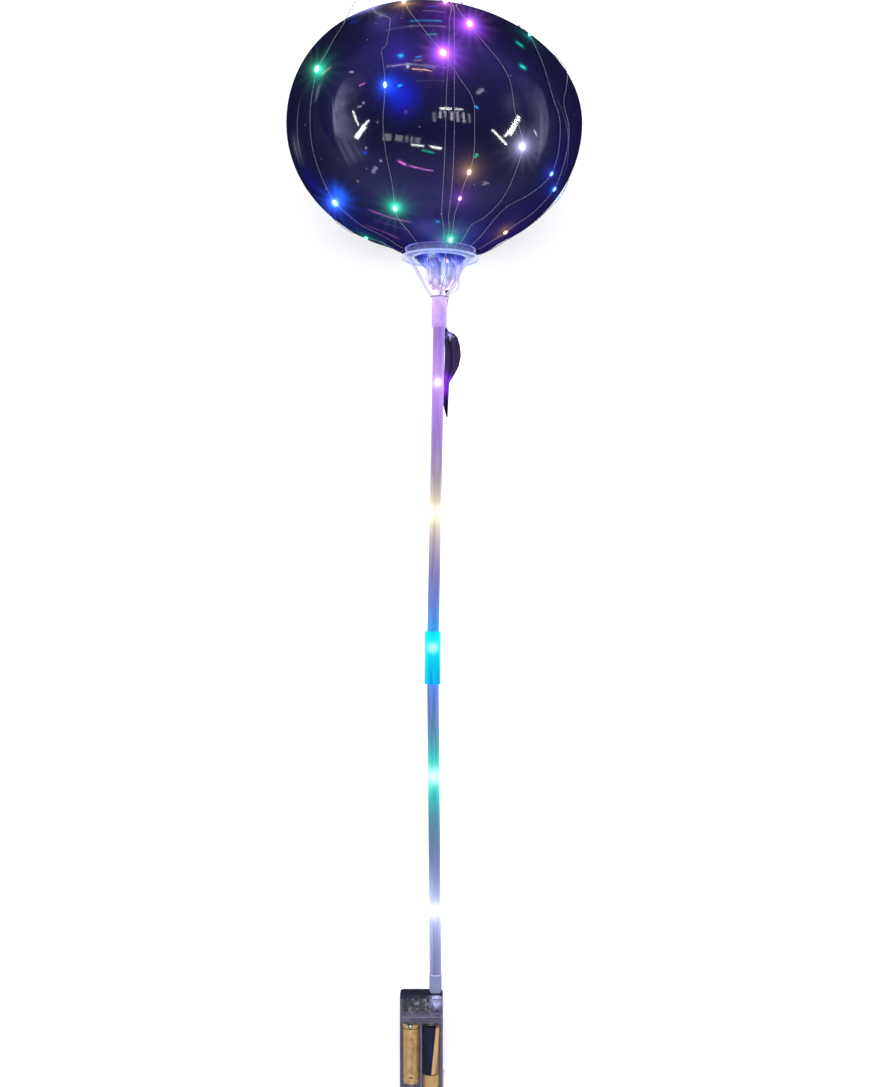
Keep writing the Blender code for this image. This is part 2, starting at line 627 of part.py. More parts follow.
# Light string
# Runs over the film in order, as (latitude, longitude) in degrees with a lift where it isn't the usual.
HIGH = CROSSING_LIFT
RUNS = {
    "front_right": (
        (-98, 11), (-90, 11), (-80, 12), (-64, 12), (-51, 13), (-44, 14), (-33, 16), (-21, 15),
        (-9, 13, HIGH), (-2, 8.5, HIGH), (4, 5.5, HIGH), (9, 3.2, HIGH), (17, -1, HIGH), (25, -4),
        (33, -7), (48, -11), (70, -20),
    ),
    "back_left": (
        (80, -60), (76, -108), (62, -126), (40, -131), (0, -128), (-30, -118), (-50, -104), (-64, -92),
    ),
    "left": (
        (-64, -69), (-44, -65), (-31, -59), (-19, -55), (2, -49), (11, -47), (18, -44), (26, -42),
        (36, -41), (47, -45, 0.0020), (52, -43, 0.0065), (54.5, -38, 0.0090),
    ),
    "front_left": (
        (53.5, -33, 0.0080), (49, -30, 0.0050), (44, -27, 0.0022), (39, -24), (35, -20), (32, -16.5),
        (27, -16), (18, -16.5), (14.5, -17), (13, -18.3), (8, -18), (-4, -17), (-18, -19), (-28, -20),
        (-44, -22), (-54, -26.5), (-64, -32),
    ),
    "front": (
        (-64, 3), (-33, 4), (-1, 4.5), (18, 6), (30, 8), (43, 11.6), (47, 11), (60, 8), (75, 5), (84, 50),
        (80, 105),
    ),
    "back_right": (
        (70, 124), (56, 129), (40, 130), (10, 122), (-12, 108), (-32, 92), (-48, 94), (-64, 100),
    ),
    "far_right": (
        (-64, 68), (-46, 73), (-35, 71), (-21, 65), (-11, 61), (-2, 54.5), (6, 57), (20, 66), (38, 74),
    ),
    "right": (
        (46, 65), (43, 54), (30, 46), (12, 44), (-3, 48), (-8, 52), (-17, 56), (-25, 59), (-36, 59),
        (-43, 54), (-52, 45), (-64, 45),
    ),
    "right_of_front": (
        (-64, 28), (-59, 35), (-52, 38), (-37, 38), (-25, 36.4), (-12, 30), (1, 26.7), (6, 24.4),
        (16, 19), (27, 15.3), (33.5, 14.5), (38, 14.4), (43, 15), (52, 22), (62, 34), (68, 38),
    ),
    "front_again": (
        (68, 26), (60, 19), (52, 15.5), (43, 13.4), (38, 12), (27, 9.3), (14, 7.6), (3, 7), (-25, 7.5),
        (-42, 8), (-64, 8), (-76, 8), (-84, 6),
    ),
}
TURN_LATITUDE, TURN_DEPTH = -78, 9
# Lights on the film: the run each is on (with the turn after it), and its latitude.
FILM_LIGHTS = (
    ("front_right", -89), ("front_right", -63), ("front_right", -50), ("front_right", -38),
    ("front_right", 9), ("front_right", 48), ("back_left", 60), ("back_left", 12), ("back_left", -61),
    ("left", -44), ("left", 11), ("front_left", 49), ("front_left", -4), ("front_left", -54),
    ("front", 47), ("back_right", 60), ("back_right", 14), ("back_right", -33),
    ("far_right", -62), ("far_right", -35), ("right", 30), ("right", -31),
    ("right_of_front", -25), ("right_of_front", 27),
)


def smooth_path(stations, step, measured):
    """A smooth curve through rows of numbers, sampled evenly by the chords of their first columns."""
    rows = np.array(stations, float)
    chords = np.diff(rows[:, :measured], axis=0)
    marks = np.append(0, np.cumsum(np.linalg.norm(chords, axis=1)))
    slopes = np.gradient(rows, marks, axis=0)
    places = np.linspace(0, marks[-1], max(2, round(marks[-1] / step)))
    spans = np.clip(np.searchsorted(marks, places, side="right") - 1, 0, len(marks) - 2)
    width = (marks[spans + 1] - marks[spans])[:, None]
    t = (places - marks[spans])[:, None] / width
    start = rows[spans] * (2 * t**3 - 3 * t**2 + 1) + slopes[spans] * width * (t**3 - 2 * t**2 + t)
    return start + rows[spans + 1] * (3 * t**2 - 2 * t**3) + slopes[spans + 1] * width * (t**3 - t**2)


def film_stations():
    """Every run's stations in order, joined by turns inside the collar; and where each run starts."""
    stations, starts = [], {}
    for name, run in RUNS.items():
        if stations and stations[-1][0] == run[0][0] == -64:
            middle, half = (stations[-1][1] + run[0][1]) / 2, (run[0][1] - stations[-1][1]) / 2
            for degrees in range(0, 181, 30):
                turn = math.radians(degrees)
                dip = TURN_LATITUDE - TURN_DEPTH * math.sin(turn)
                stations.append((dip, middle - half * math.cos(turn), WIRE_LIFT))
        starts[name] = len(stations)
        stations += [(*station, WIRE_LIFT)[:3] for station in run]
    return stations, starts


def stick_wire_points():
    """The wire's way from the board, up through the spigot and both tubes, to the neck."""
    points = [(-0.0020, 0.0030, 0.0780), (-0.0010, 0.0018, 0.0825), (0.0002, 0, 0.0880), (0, 0, 0.1120)]
    height = 0.1300
    while height < 0.6500:
        across = 0.0012 * math.sin(height * 2 * math.pi / 0.095)
        back = 0.0010 * math.cos(height * 2 * math.pi / 0.130)
        points.append((stick_x(height) + across, back, height))
        height += 0.0200
    for across, back, height in WIRE_INTO_NECK:
        points.append((stick_x(height) + across, back, height))
    return points


def string_path():
    """Points a millimetre or less apart along the whole wire, and each light's place among them."""
    stations, starts = film_stations()
    on_film = smooth_path(stations, 0.5, 2)
    points = [Vector(film_point(*row)) for row in on_film]
    firsts = []
    for name in RUNS:
        firsts.append(nearest_row(on_film, stations[starts[name]], firsts[-1] if firsts else 0))
    ends = dict(zip(RUNS, zip(firsts, firsts[1:] + [len(on_film)])))
    lights = []
    for name, latitude in FILM_LIGHTS:
        first, end = ends[name]
        lights.append(first + int(np.argmin(np.abs(on_film[first:end, 0] - latitude))))
    lengths = np.append(0, np.cumsum([(b - a).length for a, b in zip(points, points[1:])]))
    for light in lights:
        near = np.exp(-(((lengths - lengths[light]) / 0.008) ** 2))
        on_film[:, 2] = np.maximum(on_film[:, 2], WIRE_LIFT + (BEAD_LIFT - WIRE_LIFT) * near)
    points = [film_point(*row) for row in on_film]
    stick = [Vector(row) for row in smooth_path(stick_wire_points(), 0.001, 3)]
    in_stick = [min(range(len(stick)), key=lambda i: abs(stick[i].z - z)) for z in STICK_LIGHTS]
    return stick + points, in_stick + [light + len(stick) for light in lights]


def nearest_row(rows, station, start):
    """The first row from start on that passes the station."""
    apart = np.abs(rows[start:, :2] - np.array(station[:2])).sum(axis=1)
    return start + int(np.argmax(apart < 0.6))


def make_light_string(look):
    points, lights = string_path()
    table = np.array([tuple(p) for p in points])
    lengths = np.append(0, np.cumsum(np.linalg.norm(np.diff(table, axis=0), axis=1)))

    def at(distances):
        return np.stack([np.interp(distances, lengths, table[:, k]) for k in range(3)], axis=-1)

    half, ramp = BEAD_LENGTH / 2, 0.0004
    marks = {0.0: WIRE_RADIUS, lengths[-1]: WIRE_RADIUS}
    for middle in lengths[lights]:
        marks[middle - half - ramp] = marks[middle + half + ramp] = WIRE_RADIUS
        marks[middle - half] = marks[middle + half] = BEAD_RADIUS
    distances, radii = [0.0], [WIRE_RADIUS]
    for start, end in zip(sorted(marks), sorted(marks)[1:]):
        if marks[start] == marks[end] == WIRE_RADIUS:
            for distance in between(at, start, end):
                distances.append(distance)
                radii.append(WIRE_RADIUS)
        distances.append(end)
        radii.append(marks[end])
    wire("light_string", at(np.array(distances)), WIRE_RADIUS, look, radii)


def between(at, start, end):
    """Distances along the curve at which straight segments follow it closely enough."""
    while True:
        length = min(MOST_SEGMENT, end - start)
        while length > MOST_SAG and stray(at(np.linspace(start, start + length, 9))) > MOST_SAG:
            length *= 0.85
        start += length
        if start > end - MOST_SAG:
            return
        yield start


def stray(points):
    """The furthest that any of the points lies from the line between the first and the last."""
    along = points[-1] - points[0]
    along /= np.linalg.norm(along)
    offsets = points - points[0]
    offsets -= np.outer(offsets @ along, along)
    return np.linalg.norm(offsets, axis=1).max()


# Laying the whole thing down
def lay_down(root):
    """Turns the front up and rests it on the ground, with the middle of its box over the origin."""
    root.rotation_euler.x = TILT - math.radians(90)
    root.location.z = -floor_level(TILT)
    bpy.context.view_layer.update()
    graph = bpy.context.evaluated_depsgraph_get()
    corners = []
    for piece in bpy.data.collections["led_balloon"].objects:
        if piece.type == "MESH":
            evaluated = piece.evaluated_get(graph)
            corners += [evaluated.matrix_world @ v.co for v in evaluated.data.vertices]
    for axis in (0, 1):
        values = [corner[axis] for corner in corners]
        root.location[axis] = -(min(values) + max(values)) / 2


def main():
    root = start_scene()
    film = material("dark clear film", (0.05, 0.05, 0.14), 0.08, transmission=0.8)
    clear = material("clear plastic", (0.80, 0.78, 0.92), 0.15, transmission=0.8)
    tube = material("frosted clear tube", (0.74, 0.70, 0.86), 0.25, transmission=0.7)
    smoky = material("smoky clear plastic", (0.45, 0.44, 0.55), 0.18, transmission=0.7)
    metal = material("nickel-plated metal", (0.72, 0.72, 0.75), 0.30, metallic=1.0)
    copper = material("fine copper wire", (0.78, 0.62, 0.45), 0.35, metallic=1.0)
    jacket = material("cell jacket", (0.70, 0.52, 0.20), 0.32, metallic=0.7)
    board = material("circuit board", (0.30, 0.33, 0.34), 0.5)
    make_balloon(film)
    make_holder(clear)
    make_stick(tube, clear)
    make_case(smoky)
    make_cover(smoky)
    make_cell("battery_left", CELL_LEFT_X, CELL_LEFT_FOOT, True, jacket)
    make_cell("battery_right", CELL_RIGHT_X, CELL_RIGHT_FOOT, False, jacket)
    make_contacts(metal)
    make_board(board)
    make_light_string(copper)
    lay_down(root)


main()
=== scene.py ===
"""A clear film balloon on a stick, wound with coloured lights, lying on a pale floor and seen from above."""

import math
from functools import partialmethod

import bmesh
import bpy
import numpy as np
from mathutils import Matrix, Vector


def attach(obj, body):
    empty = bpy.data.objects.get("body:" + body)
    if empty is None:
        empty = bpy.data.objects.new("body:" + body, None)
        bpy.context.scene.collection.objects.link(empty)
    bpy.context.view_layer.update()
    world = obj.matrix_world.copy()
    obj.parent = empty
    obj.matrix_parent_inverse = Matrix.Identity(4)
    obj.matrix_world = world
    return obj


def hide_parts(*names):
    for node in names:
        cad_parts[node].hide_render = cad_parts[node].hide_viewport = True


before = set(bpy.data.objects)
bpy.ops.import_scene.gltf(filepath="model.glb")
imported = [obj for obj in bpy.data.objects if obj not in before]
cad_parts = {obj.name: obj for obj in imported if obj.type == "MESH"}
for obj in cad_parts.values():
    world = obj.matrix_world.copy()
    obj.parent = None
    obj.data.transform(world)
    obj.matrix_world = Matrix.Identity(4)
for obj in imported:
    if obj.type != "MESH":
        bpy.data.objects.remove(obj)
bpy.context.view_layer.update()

# Camera
# The piece is thought of upright, its origin on the stick's axis at the case's end, and then lies
# on its back. The camera looks straight at its front, level with the middle of the stick.
LYING = Matrix.Translation((0.001, -0.44859, 0.009103)) @ Matrix.Rotation(-1.431757, 4, "X")
EYE = Vector((-0.0004, -1.05, 0.4628))


def put(name, data):
    """A new object of the scene."""
    made = bpy.data.objects.new(name, data)
    bpy.context.scene.collection.objects.link(made)
    return made


camera_data = bpy.data.cameras.new("camera")
camera_data.sensor_width, camera_data.lens = 36, 41.4
camera_data.clip_start, camera_data.clip_end = 0.05, 30
camera = put("camera", camera_data)
camera.matrix_world = LYING @ Matrix.Translation(EYE) @ Matrix.Rotation(math.radians(90), 4, "X")
bpy.context.scene.camera = camera

# Finishes
# Sums on the sockets of a material are written as plain arithmetic. Every node comes from one
# function, which sets the node's own settings first and then its inputs.


def fill(tree, sockets, values):
    """Each value linked to its socket, or set on it where it is constant."""
    for name, value in values.items():
        if isinstance(value, Number):
            tree.links.new(value.socket, sockets[name])
        else:
            sockets[name].default_value = value


def add_node(tree, kind, settings, inputs, output=0):
    made = tree.nodes.new("ShaderNode" + kind)
    for name, value in settings.items():
        setattr(made, name, value)
    fill(tree, made.inputs, inputs)
    return Number(made.outputs[output])


class Number:
    """An output socket that takes part in sums."""

    def __init__(self, socket):
        self.socket = socket

    def node(self, kind, settings, inputs):
        return add_node(self.socket.id_data, kind, settings, inputs)

    def sum(self, operation, *others):
        """A sum of this number and then the others."""
        return self.node("Math", {"operation": operation}, dict(enumerate((self, *others))))

    def last(self, operation, other):
        """A sum of another number and then this one."""
        return self.node("Math", {"operation": operation}, {0: other, 1: self})

    __add__ = __radd__ = partialmethod(sum, "ADD")
    __mul__ = __rmul__ = partialmethod(sum, "MULTIPLY")
    __sub__, __rsub__ = partialmethod(sum, "SUBTRACT"), partialmethod(last, "SUBTRACT")
    __pow__, __rpow__ = partialmethod(sum, "POWER"), partialmethod(last, "POWER")
    __truediv__ = partialmethod(sum, "DIVIDE")
    __abs__ = partialmethod(sum, "ABSOLUTE")

    def rise(self, low, high, foot=0.0, top=1.0):
        """A straight slope from foot, where the number is low, to top, where it is high."""
        inputs = {"Value": self, "From Min": low, "From Max": high, "To Min": foot, "To Max": top}
        return self.node("MapRange", {}, inputs)

    def within(self, half, soft):
        """1 where the number lies nearer to 0 than half, fading to 0 over soft."""
        return abs(self).rise(half, half + soft, 1.0, 0.0)


class Finish:
    """A material whose surface is one shader; constants sit on its sockets, patterns are linked."""

    def __init__(self, name, sockets):
        self.material = bpy.data.materials.new(name)
        self.material.use_nodes = True
        self.tree = self.material.node_tree
        self.set(sockets)

    def set(self, sockets):
        fill(self.tree, self.tree.nodes["Principled BSDF"].inputs, sockets)

    def node(self, kind, settings, inputs, output=0):
        return add_node(self.tree, kind, settings, inputs, output)

    def vector(self, operation, first, second, output="Vector"):
        return self.node("VectorMath", {"operation": operation}, {0: first, 1: second}, output)

    def scaled(self, vector, share):
        return self.node("VectorMath", {"operation": "SCALE"}, {0: vector, "Scale": share})

    def times(self, colour, other):
        return self.vector("MULTIPLY", colour, (other,) * 3 if isinstance(other, float) else other)

    def place(self, frame_of=LYING):
        """The point's place in the frame of a piece, from the object's own coordinates."""
        back = frame_of.inverted()
        return self.node("Mapping", {}, {
            "Vector": self.node("TexCoord", {}, {}, "Object"),
            "Location": back.translation,
            "Rotation": back.to_euler(),
        })

    def drawn_out(self, place, share):
        """The place with its height shrunk, so that a pattern on it runs long and upright."""
        return self.node("Mapping", {}, {"Vector": place, "Scale": (1.0, 1.0, share)})

    def axes(self, place):
        return tuple(self.node("SeparateXYZ", {}, {"Vector": place}, axis) for axis in "XYZ")

    def facing(self, blend=0.5):
        return self.node("LayerWeight", {}, {"Blend": blend}, "Facing")

    def noise(self, place, scale, detail=2.0):
        return self.node("TexNoise", {}, {"Vector": place, "Scale": scale, "Detail": detail}, "Fac")

    def bump(self, height, strength, distance):
        return self.node("Bump", {}, {"Height": height, "Strength": strength, "Distance": distance})

    def ramp(self, value, *stops):
        """Colours or shares by a value, from (place, colour) stops."""
        made = self.node("ValToRGB", {}, {"Fac": value})
        elements = made.socket.node.color_ramp.elements
        while len(elements) < len(stops):
            elements.new(0.5)
        for stop, (place, colour) in zip(elements, stops):
            stop.position = place
            stop.color = (*colour, 1) if isinstance(colour, tuple) else (colour, colour, colour, 1)
        return made

    def mix(self, share, under, over):
        """One colour laid over another where the share is 1."""
        sockets = {"Factor": share}
        for name, colour in ((6, under), (7, over)):
            sockets[name] = (*colour, 1) if isinstance(colour, tuple) else colour
        return self.node("Mix", {"data_type": "RGBA"}, sockets, 2)

    def lit(self, colour, share, tint):
        """A colour with a share of a tint added to it."""
        part = self.scaled(tint, share)
        return part if colour is None else self.vector("ADD", colour, part)

    def glow(self, place, lights, start=(0, 0, 0), soft=False):
        """Light spilling from each (place, colour, strength, reach in mm), added up over the surface.
        A place may also be the two ends of a streak."""
        total, in_mm = None, self.times(place, 1000.0)
        for centre, colour, strength, reach in lights:
            here = in_mm
            if isinstance(centre, list):
                centre, end = centre
                along = (end - centre) * 1000
                from_end = self.vector("SUBTRACT", in_mm, centre * 1000)
                share = self.vector("DOT_PRODUCT", from_end, along / along.length_squared, "Value")
                share = share.sum("MAXIMUM", 0.0).sum("MINIMUM", 1.0)
                here = self.vector("SUBTRACT", in_mm, self.scaled(along, share))
            apart = self.vector("DISTANCE", here, tuple(1000 * number for number in centre), "Value")
            near = math.exp(-1 / reach**2) ** (apart * apart) if soft else math.exp(-1 / reach) ** apart
            total = self.lit(total, near, tuple(channel * strength for channel in colour))
        return self.vector("ADD", total, start)


# Floor
# A broad sheet of pale card, a hair below what rests on it, with a faint tooth.
bm = bmesh.new()
bmesh.ops.create_grid(bm, x_segments=1, y_segments=1, size=4.0, matrix=Matrix.Translation((0, 0, -0.0002)))
floor_mesh = bpy.data.meshes.new("floor")
bm.to_mesh(floor_mesh)
bm.free()
card = Finish("pale card", {"Roughness": 0.7, "Specular IOR Level": 0.2})
tooth = card.noise(card.place(Matrix.Identity(4)), 40.0)
card.set({"Base Color": card.ramp(tooth, (0, 0.94), (1, 0.97))})
floor_mesh.materials.append(card.material)
put("floor", floor_mesh)

# Lights
# An even pale surrounding with a soft box at each side, and small bright panels that light nothing
# but the film: it mirrors them as the crossed strokes, window panes and coloured flecks that show in it.
world = bpy.data.worlds.new("surrounding")
world.use_nodes = True
world.node_tree.nodes["Background"].inputs["Color"].default_value = (0.97, 0.98, 1.0, 1)
world.node_tree.nodes["Background"].inputs["Strength"].default_value = 1.0
bpy.context.scene.world = world
bpy.context.scene.view_settings.view_transform = "Standard"
seen_in_film = bpy.data.collections.new("seen in the film")


def hang_panel(name, matrix, wide, tall, power, colour=(1, 1, 1)):
    """A flat rectangular light, which the camera itself doesn't see."""
    light = bpy.data.lights.new(name, "AREA")
    light.shape, light.size, light.size_y, light.energy, light.color = "RECTANGLE", wide, tall, power, colour
    lamp = put(name, light)
    lamp.matrix_world = matrix
    lamp.visible_camera = False
    return lamp


for name, x in (("left_box", -1.6), ("right_box", 1.6)):
    aim = Vector((-x, -0.1, -1.0)).to_track_quat("-Z", "Y").to_matrix().to_4x4()
    hang_panel(name, Matrix.Translation((x, 0.1, 1.1)) @ aim, 0.8, 1.6, 26).visible_glossy = False

# A pixel's size in the plane of the balloon's middle, the picture's middle pixel, and how far the
# mirrored panels hang from the film.
PIXEL, MIDDLE_PIXEL = 0.00084, (435, 543.5)
PANELS_AWAY = 1.3
BALLOON_CENTRE = Vector((-0.001, 0, 0.8112))
BALLOON_RADIUS, BALLOON_UP, BALLOON_DOWN = 0.1235, 0.0942, 0.1024


def film_seen(x, y):
    """The spot of the upright film that a pixel of the picture shows, and where a glance off it goes."""
    across, down = (x - MIDDLE_PIXEL[0]) * PIXEL, (y - MIDDLE_PIXEL[1]) * PIXEL
    seen = Vector((across + EYE.x, 0, EYE.z - down))
    along = (seen - EYE).normalized()
    tall = BALLOON_UP if seen.z > BALLOON_CENTRE.z else BALLOON_DOWN
    squash = Vector((1 / BALLOON_RADIUS, 1 / BALLOON_RADIUS, 1 / tall))
    start, step = (EYE - BALLOON_CENTRE) * squash, along * squash
    half, rest = start.dot(step) / step.dot(step), (start.dot(start) - 1) / step.dot(step)
    hit = EYE + along * (-half - math.sqrt(max(half * half - rest, 0)))
    return hit, along.reflect(((hit - BALLOON_CENTRE) * squash * squash).normalized())


def mirrored_stroke(name, start, end, width, power, colour):
    """A long thin panel that the film mirrors as a stroke from one pixel to another."""
    hits, glances = zip(film_seen(*start), film_seen(*end))
    places = [LYING @ (hit + glance * PANELS_AWAY) for hit, glance in zip(hits, glances)]
    middle, target = (places[0] + places[1]) / 2, LYING @ ((hits[0] + hits[1]) / 2)
    back, along = (middle - target).normalized(), places[1] - places[0]
    tall = along.length
    up = (along - back * along.dot(back)).normalized()
    turn = Matrix((up.cross(back), up, back)).transposed().to_4x4()
    lamp = hang_panel(name, Matrix.Translation(middle) @ turn, width, tall, power * tall * width, colour)
    lamp.light_linking.receiver_collection = seen_in_film


COLOURS = {
    "pink": (0.9, 0.22, 1.0), "green": (0.0, 0.8, 0.42), "violet": (0.42, 0.08, 1.0),
    "warm": (1.0, 0.55, 0.22), "blue": (0.0, 0.08, 1.0), "white": (0.6, 0.6, 1.0),
    "teal": (0.0, 0.75, 0.55), "cyan": (0.0, 0.45, 1.0), "grey": (0.8, 0.76, 1.0),
}
# What the film mirrors, by the pixels at its ends, with a width, a power and perhaps a colour. One
# window's panes are high beside the middle and another's are in a row below it.
MIRRORED = {
    "stroke": (
        (352.7, 107, 358, 120, 0.032, 800), (368.5, 115, 361, 129, 0.036, 800),
        (364.5, 120, 356, 139, 0.085, 800), (519.5, 111, 504.5, 136, 0.05, 800),
        (519, 112, 510, 127, 0.09, 800), (492.5, 122.5, 506.5, 144, 0.036, 800),
    ),
    "pane": (
        (440, 103.5, 452, 104, 0.05, 620), (455, 104, 463, 104.5, 0.04, 420),
        (434, 107, 434, 115, 0.05, 90), (440, 106, 440.5, 112, 0.04, 260),
        (445, 106, 445.5, 112, 0.04, 220), (451.5, 106, 452, 114, 0.04, 260),
        (457.5, 106.5, 458, 115, 0.04, 200), (463.5, 107, 464, 116, 0.04, 220),
        (469, 108, 470, 116, 0.034, 110), (382.5, 137, 391, 138, 0.15, 100),
        (395, 138, 402, 139, 0.13, 95), (405, 139, 408, 139.3, 0.13, 80),
        (410, 139.5, 412.5, 139.8, 0.13, 100), (414.5, 140, 420, 141, 0.12, 80),
        (411, 144.8, 423.5, 146.2, 0.034, 700), (430, 146.3, 441, 148.6, 0.046, 800),
    ),
    "fleck": (
        (398, 161.5, 405.5, 165.5, 0.035, 700, "pink"), (408, 166, 432, 171, 0.02, 520, "pink"),
        (421, 150, 434, 153, 0.035, 260, "green"), (474, 157, 477, 153, 0.04, 480, "green"),
        (412, 69, 432, 71, 0.036, 520, "warm"), (398, 56, 403, 56.5, 0.04, 480, "cyan"),
        (416, 57.5, 422, 56.5, 0.04, 330, "cyan"), (475, 101, 478, 104, 0.04, 700, "cyan"),
        (359, 85, 365, 82.5, 0.028, 420, "pink"), (398, 84.5, 401.5, 83.5, 0.04, 900, "cyan"),
        (477, 91, 483.5, 87, 0.075, 170, "grey"), (372, 174, 376, 168, 0.06, 150, "grey"),
        (482.5, 186, 486, 181, 0.09, 150, "grey"), (392, 67, 409, 64, 0.018, 180, "grey"),
        (409, 64, 447, 68, 0.014, 130, "grey"), (416, 80, 448, 80, 0.012, 60, "grey"),
        (534.5, 124, 537, 135, 0.03, 420, "grey"),
    ),
}
for kind, rows in MIRRORED.items():
    for number, (left, top, right, low, width, power, *colour) in enumerate(rows):
        tint = COLOURS[colour[0]] if colour else (1, 1, 1)
        mirrored_stroke(f"{kind}_{number}", (left, top), (right, low), width, power, tint)

# Balloon
# A ball of thin clear film that looks dark and blue where the lights don't reach. It rests in the
# holder's collar, and below that its neck is gathered and tied down to the stick.
# The latitude where the cone starts, and below it the length of film that counts as a degree.
CONE_LATITUDE, DEGREE_LENGTH = -63.9, 0.002
SWAY_AT_TOP, SWAY_AT_FOOT, FOOT_BELOW_CENTRE = -0.0135, 0.0042, 0.108
NECK_BLEND = (0.724, 0.7125)
NECK_SHIFT, NECK_SHIFT_TOP, NECK_SHIFT_FULL, NECK_SHIFT_FOOT = 0.003, 0.702, 0.693, 0.676
FILM_GAP = 0.0022
COLLAR_OUTER, COLLAR_WALL, COLLAR_TOP = 0.0297, 0.0012, 0.0076
HOLDER_FOOT = Vector((0.004, 0, 0.7024))
STICK_JOINT = Vector((-0.0024, 0, 0.367))
SPIGOT_TOP = Vector((0, 0, 0.102))
# Heights of the lights in the stick.
WHITE_AT, GREEN_AT, BLUE_AT, WARM_AT, VIOLET_AT = 0.1557, 0.2683, 0.3758, 0.4884, 0.5976
LOWER_LEAN = math.atan2(STICK_JOINT.x - SPIGOT_TOP.x, STICK_JOINT.z - SPIGOT_TOP.z)
UPPER_LEAN = math.atan2(HOLDER_FOOT.x - STICK_JOINT.x, HOLDER_FOOT.z - STICK_JOINT.z)
HOLDER_FRAME = Matrix.Translation(HOLDER_FOOT) @ Matrix.Rotation(UPPER_LEAN, 4, "Y")


def smoothstep(value):
    value = min(max(value, 0), 1)
    return value * value * (3 - 2 * value)


def neck_profile():
    """(radius, height) from the cone's start, over the collar's rim and down to the tied neck."""
    flange = HOLDER_FOOT.z
    start_r = BALLOON_RADIUS * math.cos(math.radians(CONE_LATITUDE))
    start_z = BALLOON_CENTRE.z + BALLOON_DOWN * math.sin(math.radians(CONE_LATITUDE))
    rim_middle = COLLAR_OUTER - COLLAR_WALL / 2
    over_rim = COLLAR_WALL / 2 + FILM_GAP
    arc_centre = flange + COLLAR_TOP + FILM_GAP - over_rim
    points = [(start_r, start_z), (0.037, flange + 0.0075), (0.0332, flange + 0.006)]
    for degrees in range(0, 181, 45):
        turn = math.radians(degrees)
        points.append((rim_middle + over_rim * math.cos(turn), arc_centre + over_rim * math.sin(turn)))
    gathered = (
        (0.0244, 0.005), (0.0206, 0.003), (0.0198, -0.0004), (0.0175, -0.0054), (0.0145, -0.0104),
        (0.014, -0.0164), (0.009, -0.0234), (0.0055, -0.0264),
    )
    return points + [(radius, flange + rise) for radius, rise in gathered]


def film_at(latitude):
    """Radius, height and outward normal (radial, upward); past the cone the latitude counts length."""
    if latitude >= CONE_LATITUDE:
        turn = math.radians(latitude)
        tall = BALLOON_UP if latitude > 0 else BALLOON_DOWN
        normal = Vector((math.cos(turn) / BALLOON_RADIUS, math.sin(turn) / tall)).normalized()
        return BALLOON_RADIUS * math.cos(turn), BALLOON_CENTRE.z + tall * math.sin(turn), normal
    profile = np.array(neck_profile())
    lengths = np.append(0, np.cumsum(np.hypot(*np.diff(profile, axis=0).T)))
    walked, near = (CONE_LATITUDE - latitude) * DEGREE_LENGTH, 0.0015
    before, here, after = (
        Vector((np.interp(d, lengths, profile[:, 0]), np.interp(d, lengths, profile[:, 1])))
        for d in (walked - near, walked, walked + near)
    )
    along = after - before
    return here.x, here.y, Vector((-along.y, along.x)).normalized()


def placed(point):
    """The balloon sways over the stick, and its neck follows the holder's lean."""
    up = point.z - BALLOON_CENTRE.z
    if up > 0:
        sway = SWAY_AT_TOP * (up / BALLOON_UP) ** 2
    else:
        sway = SWAY_AT_FOOT * (-up / FOOT_BELOW_CENTRE) ** 3
    body = point + Vector((BALLOON_CENTRE.x + sway, 0, 0))
    pulled = min(
        (NECK_SHIFT_TOP - point.z) / (NECK_SHIFT_TOP - NECK_SHIFT_FULL),
        (point.z - NECK_SHIFT_FOOT) / (NECK_SHIFT_FULL - NECK_SHIFT_FOOT),
    )
    shift = Vector((NECK_SHIFT * smoothstep(pulled), 0, -HOLDER_FOOT.z))
    neck = HOLDER_FRAME @ (point + shift)
    high, low = NECK_BLEND
    return body.lerp(neck, smoothstep((high - point.z) / (high - low)))


def film_point(latitude, longitude, lift):
    radius, height, normal = film_at(latitude)
    radius += normal.x * lift
    height += normal.y * lift
    turn = math.radians(longitude)
    return placed(Vector((radius * math.sin(turn), -radius * math.cos(turn), height)))


def stick_x(height):
    lean = LOWER_LEAN if height < STICK_JOINT.z else UPPER_LEAN
    return STICK_JOINT.x + (height - STICK_JOINT.z) * math.tan(lean)


def smooth_path(stations, step, measured):
    """A smooth curve through rows of numbers, sampled evenly by the chords of their first columns."""
    rows = np.array(stations, float)
    chords = np.diff(rows[:, :measured], axis=0)
    marks = np.append(0, np.cumsum(np.linalg.norm(chords, axis=1)))
    slopes = np.gradient(rows, marks, axis=0)
    places = np.linspace(0, marks[-1], max(2, round(marks[-1] / step)))
    spans = np.clip(np.searchsorted(marks, places, side="right") - 1, 0, len(marks) - 2)
    width = (marks[spans + 1] - marks[spans])[:, None]
    t = (places - marks[spans])[:, None] / width
    start = rows[spans] * (2 * t**3 - 3 * t**2 + 1) + slopes[spans] * width * (t**3 - 2 * t**2 + t)
    return start + rows[spans + 1] * (3 * t**2 - 2 * t**3) + slopes[spans + 1] * width * (t**3 - t**2)


def add_piece(name, bm, finish, node, smooth=40):
    """The finished piece from its bmesh: shaded, riding on the one body and standing for its node."""
    bmesh.ops.recalc_face_normals(bm, faces=bm.faces)
    mesh = bpy.data.meshes.new(name)
    bm.to_mesh(mesh)
    bm.free()
    mesh.shade_smooth()
    mesh.set_sharp_from_angle(angle=math.radians(smooth))
    mesh.materials.append(finish.material)
    piece = put(name, mesh)
    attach(piece, "root")
    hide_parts(node)
    return piece


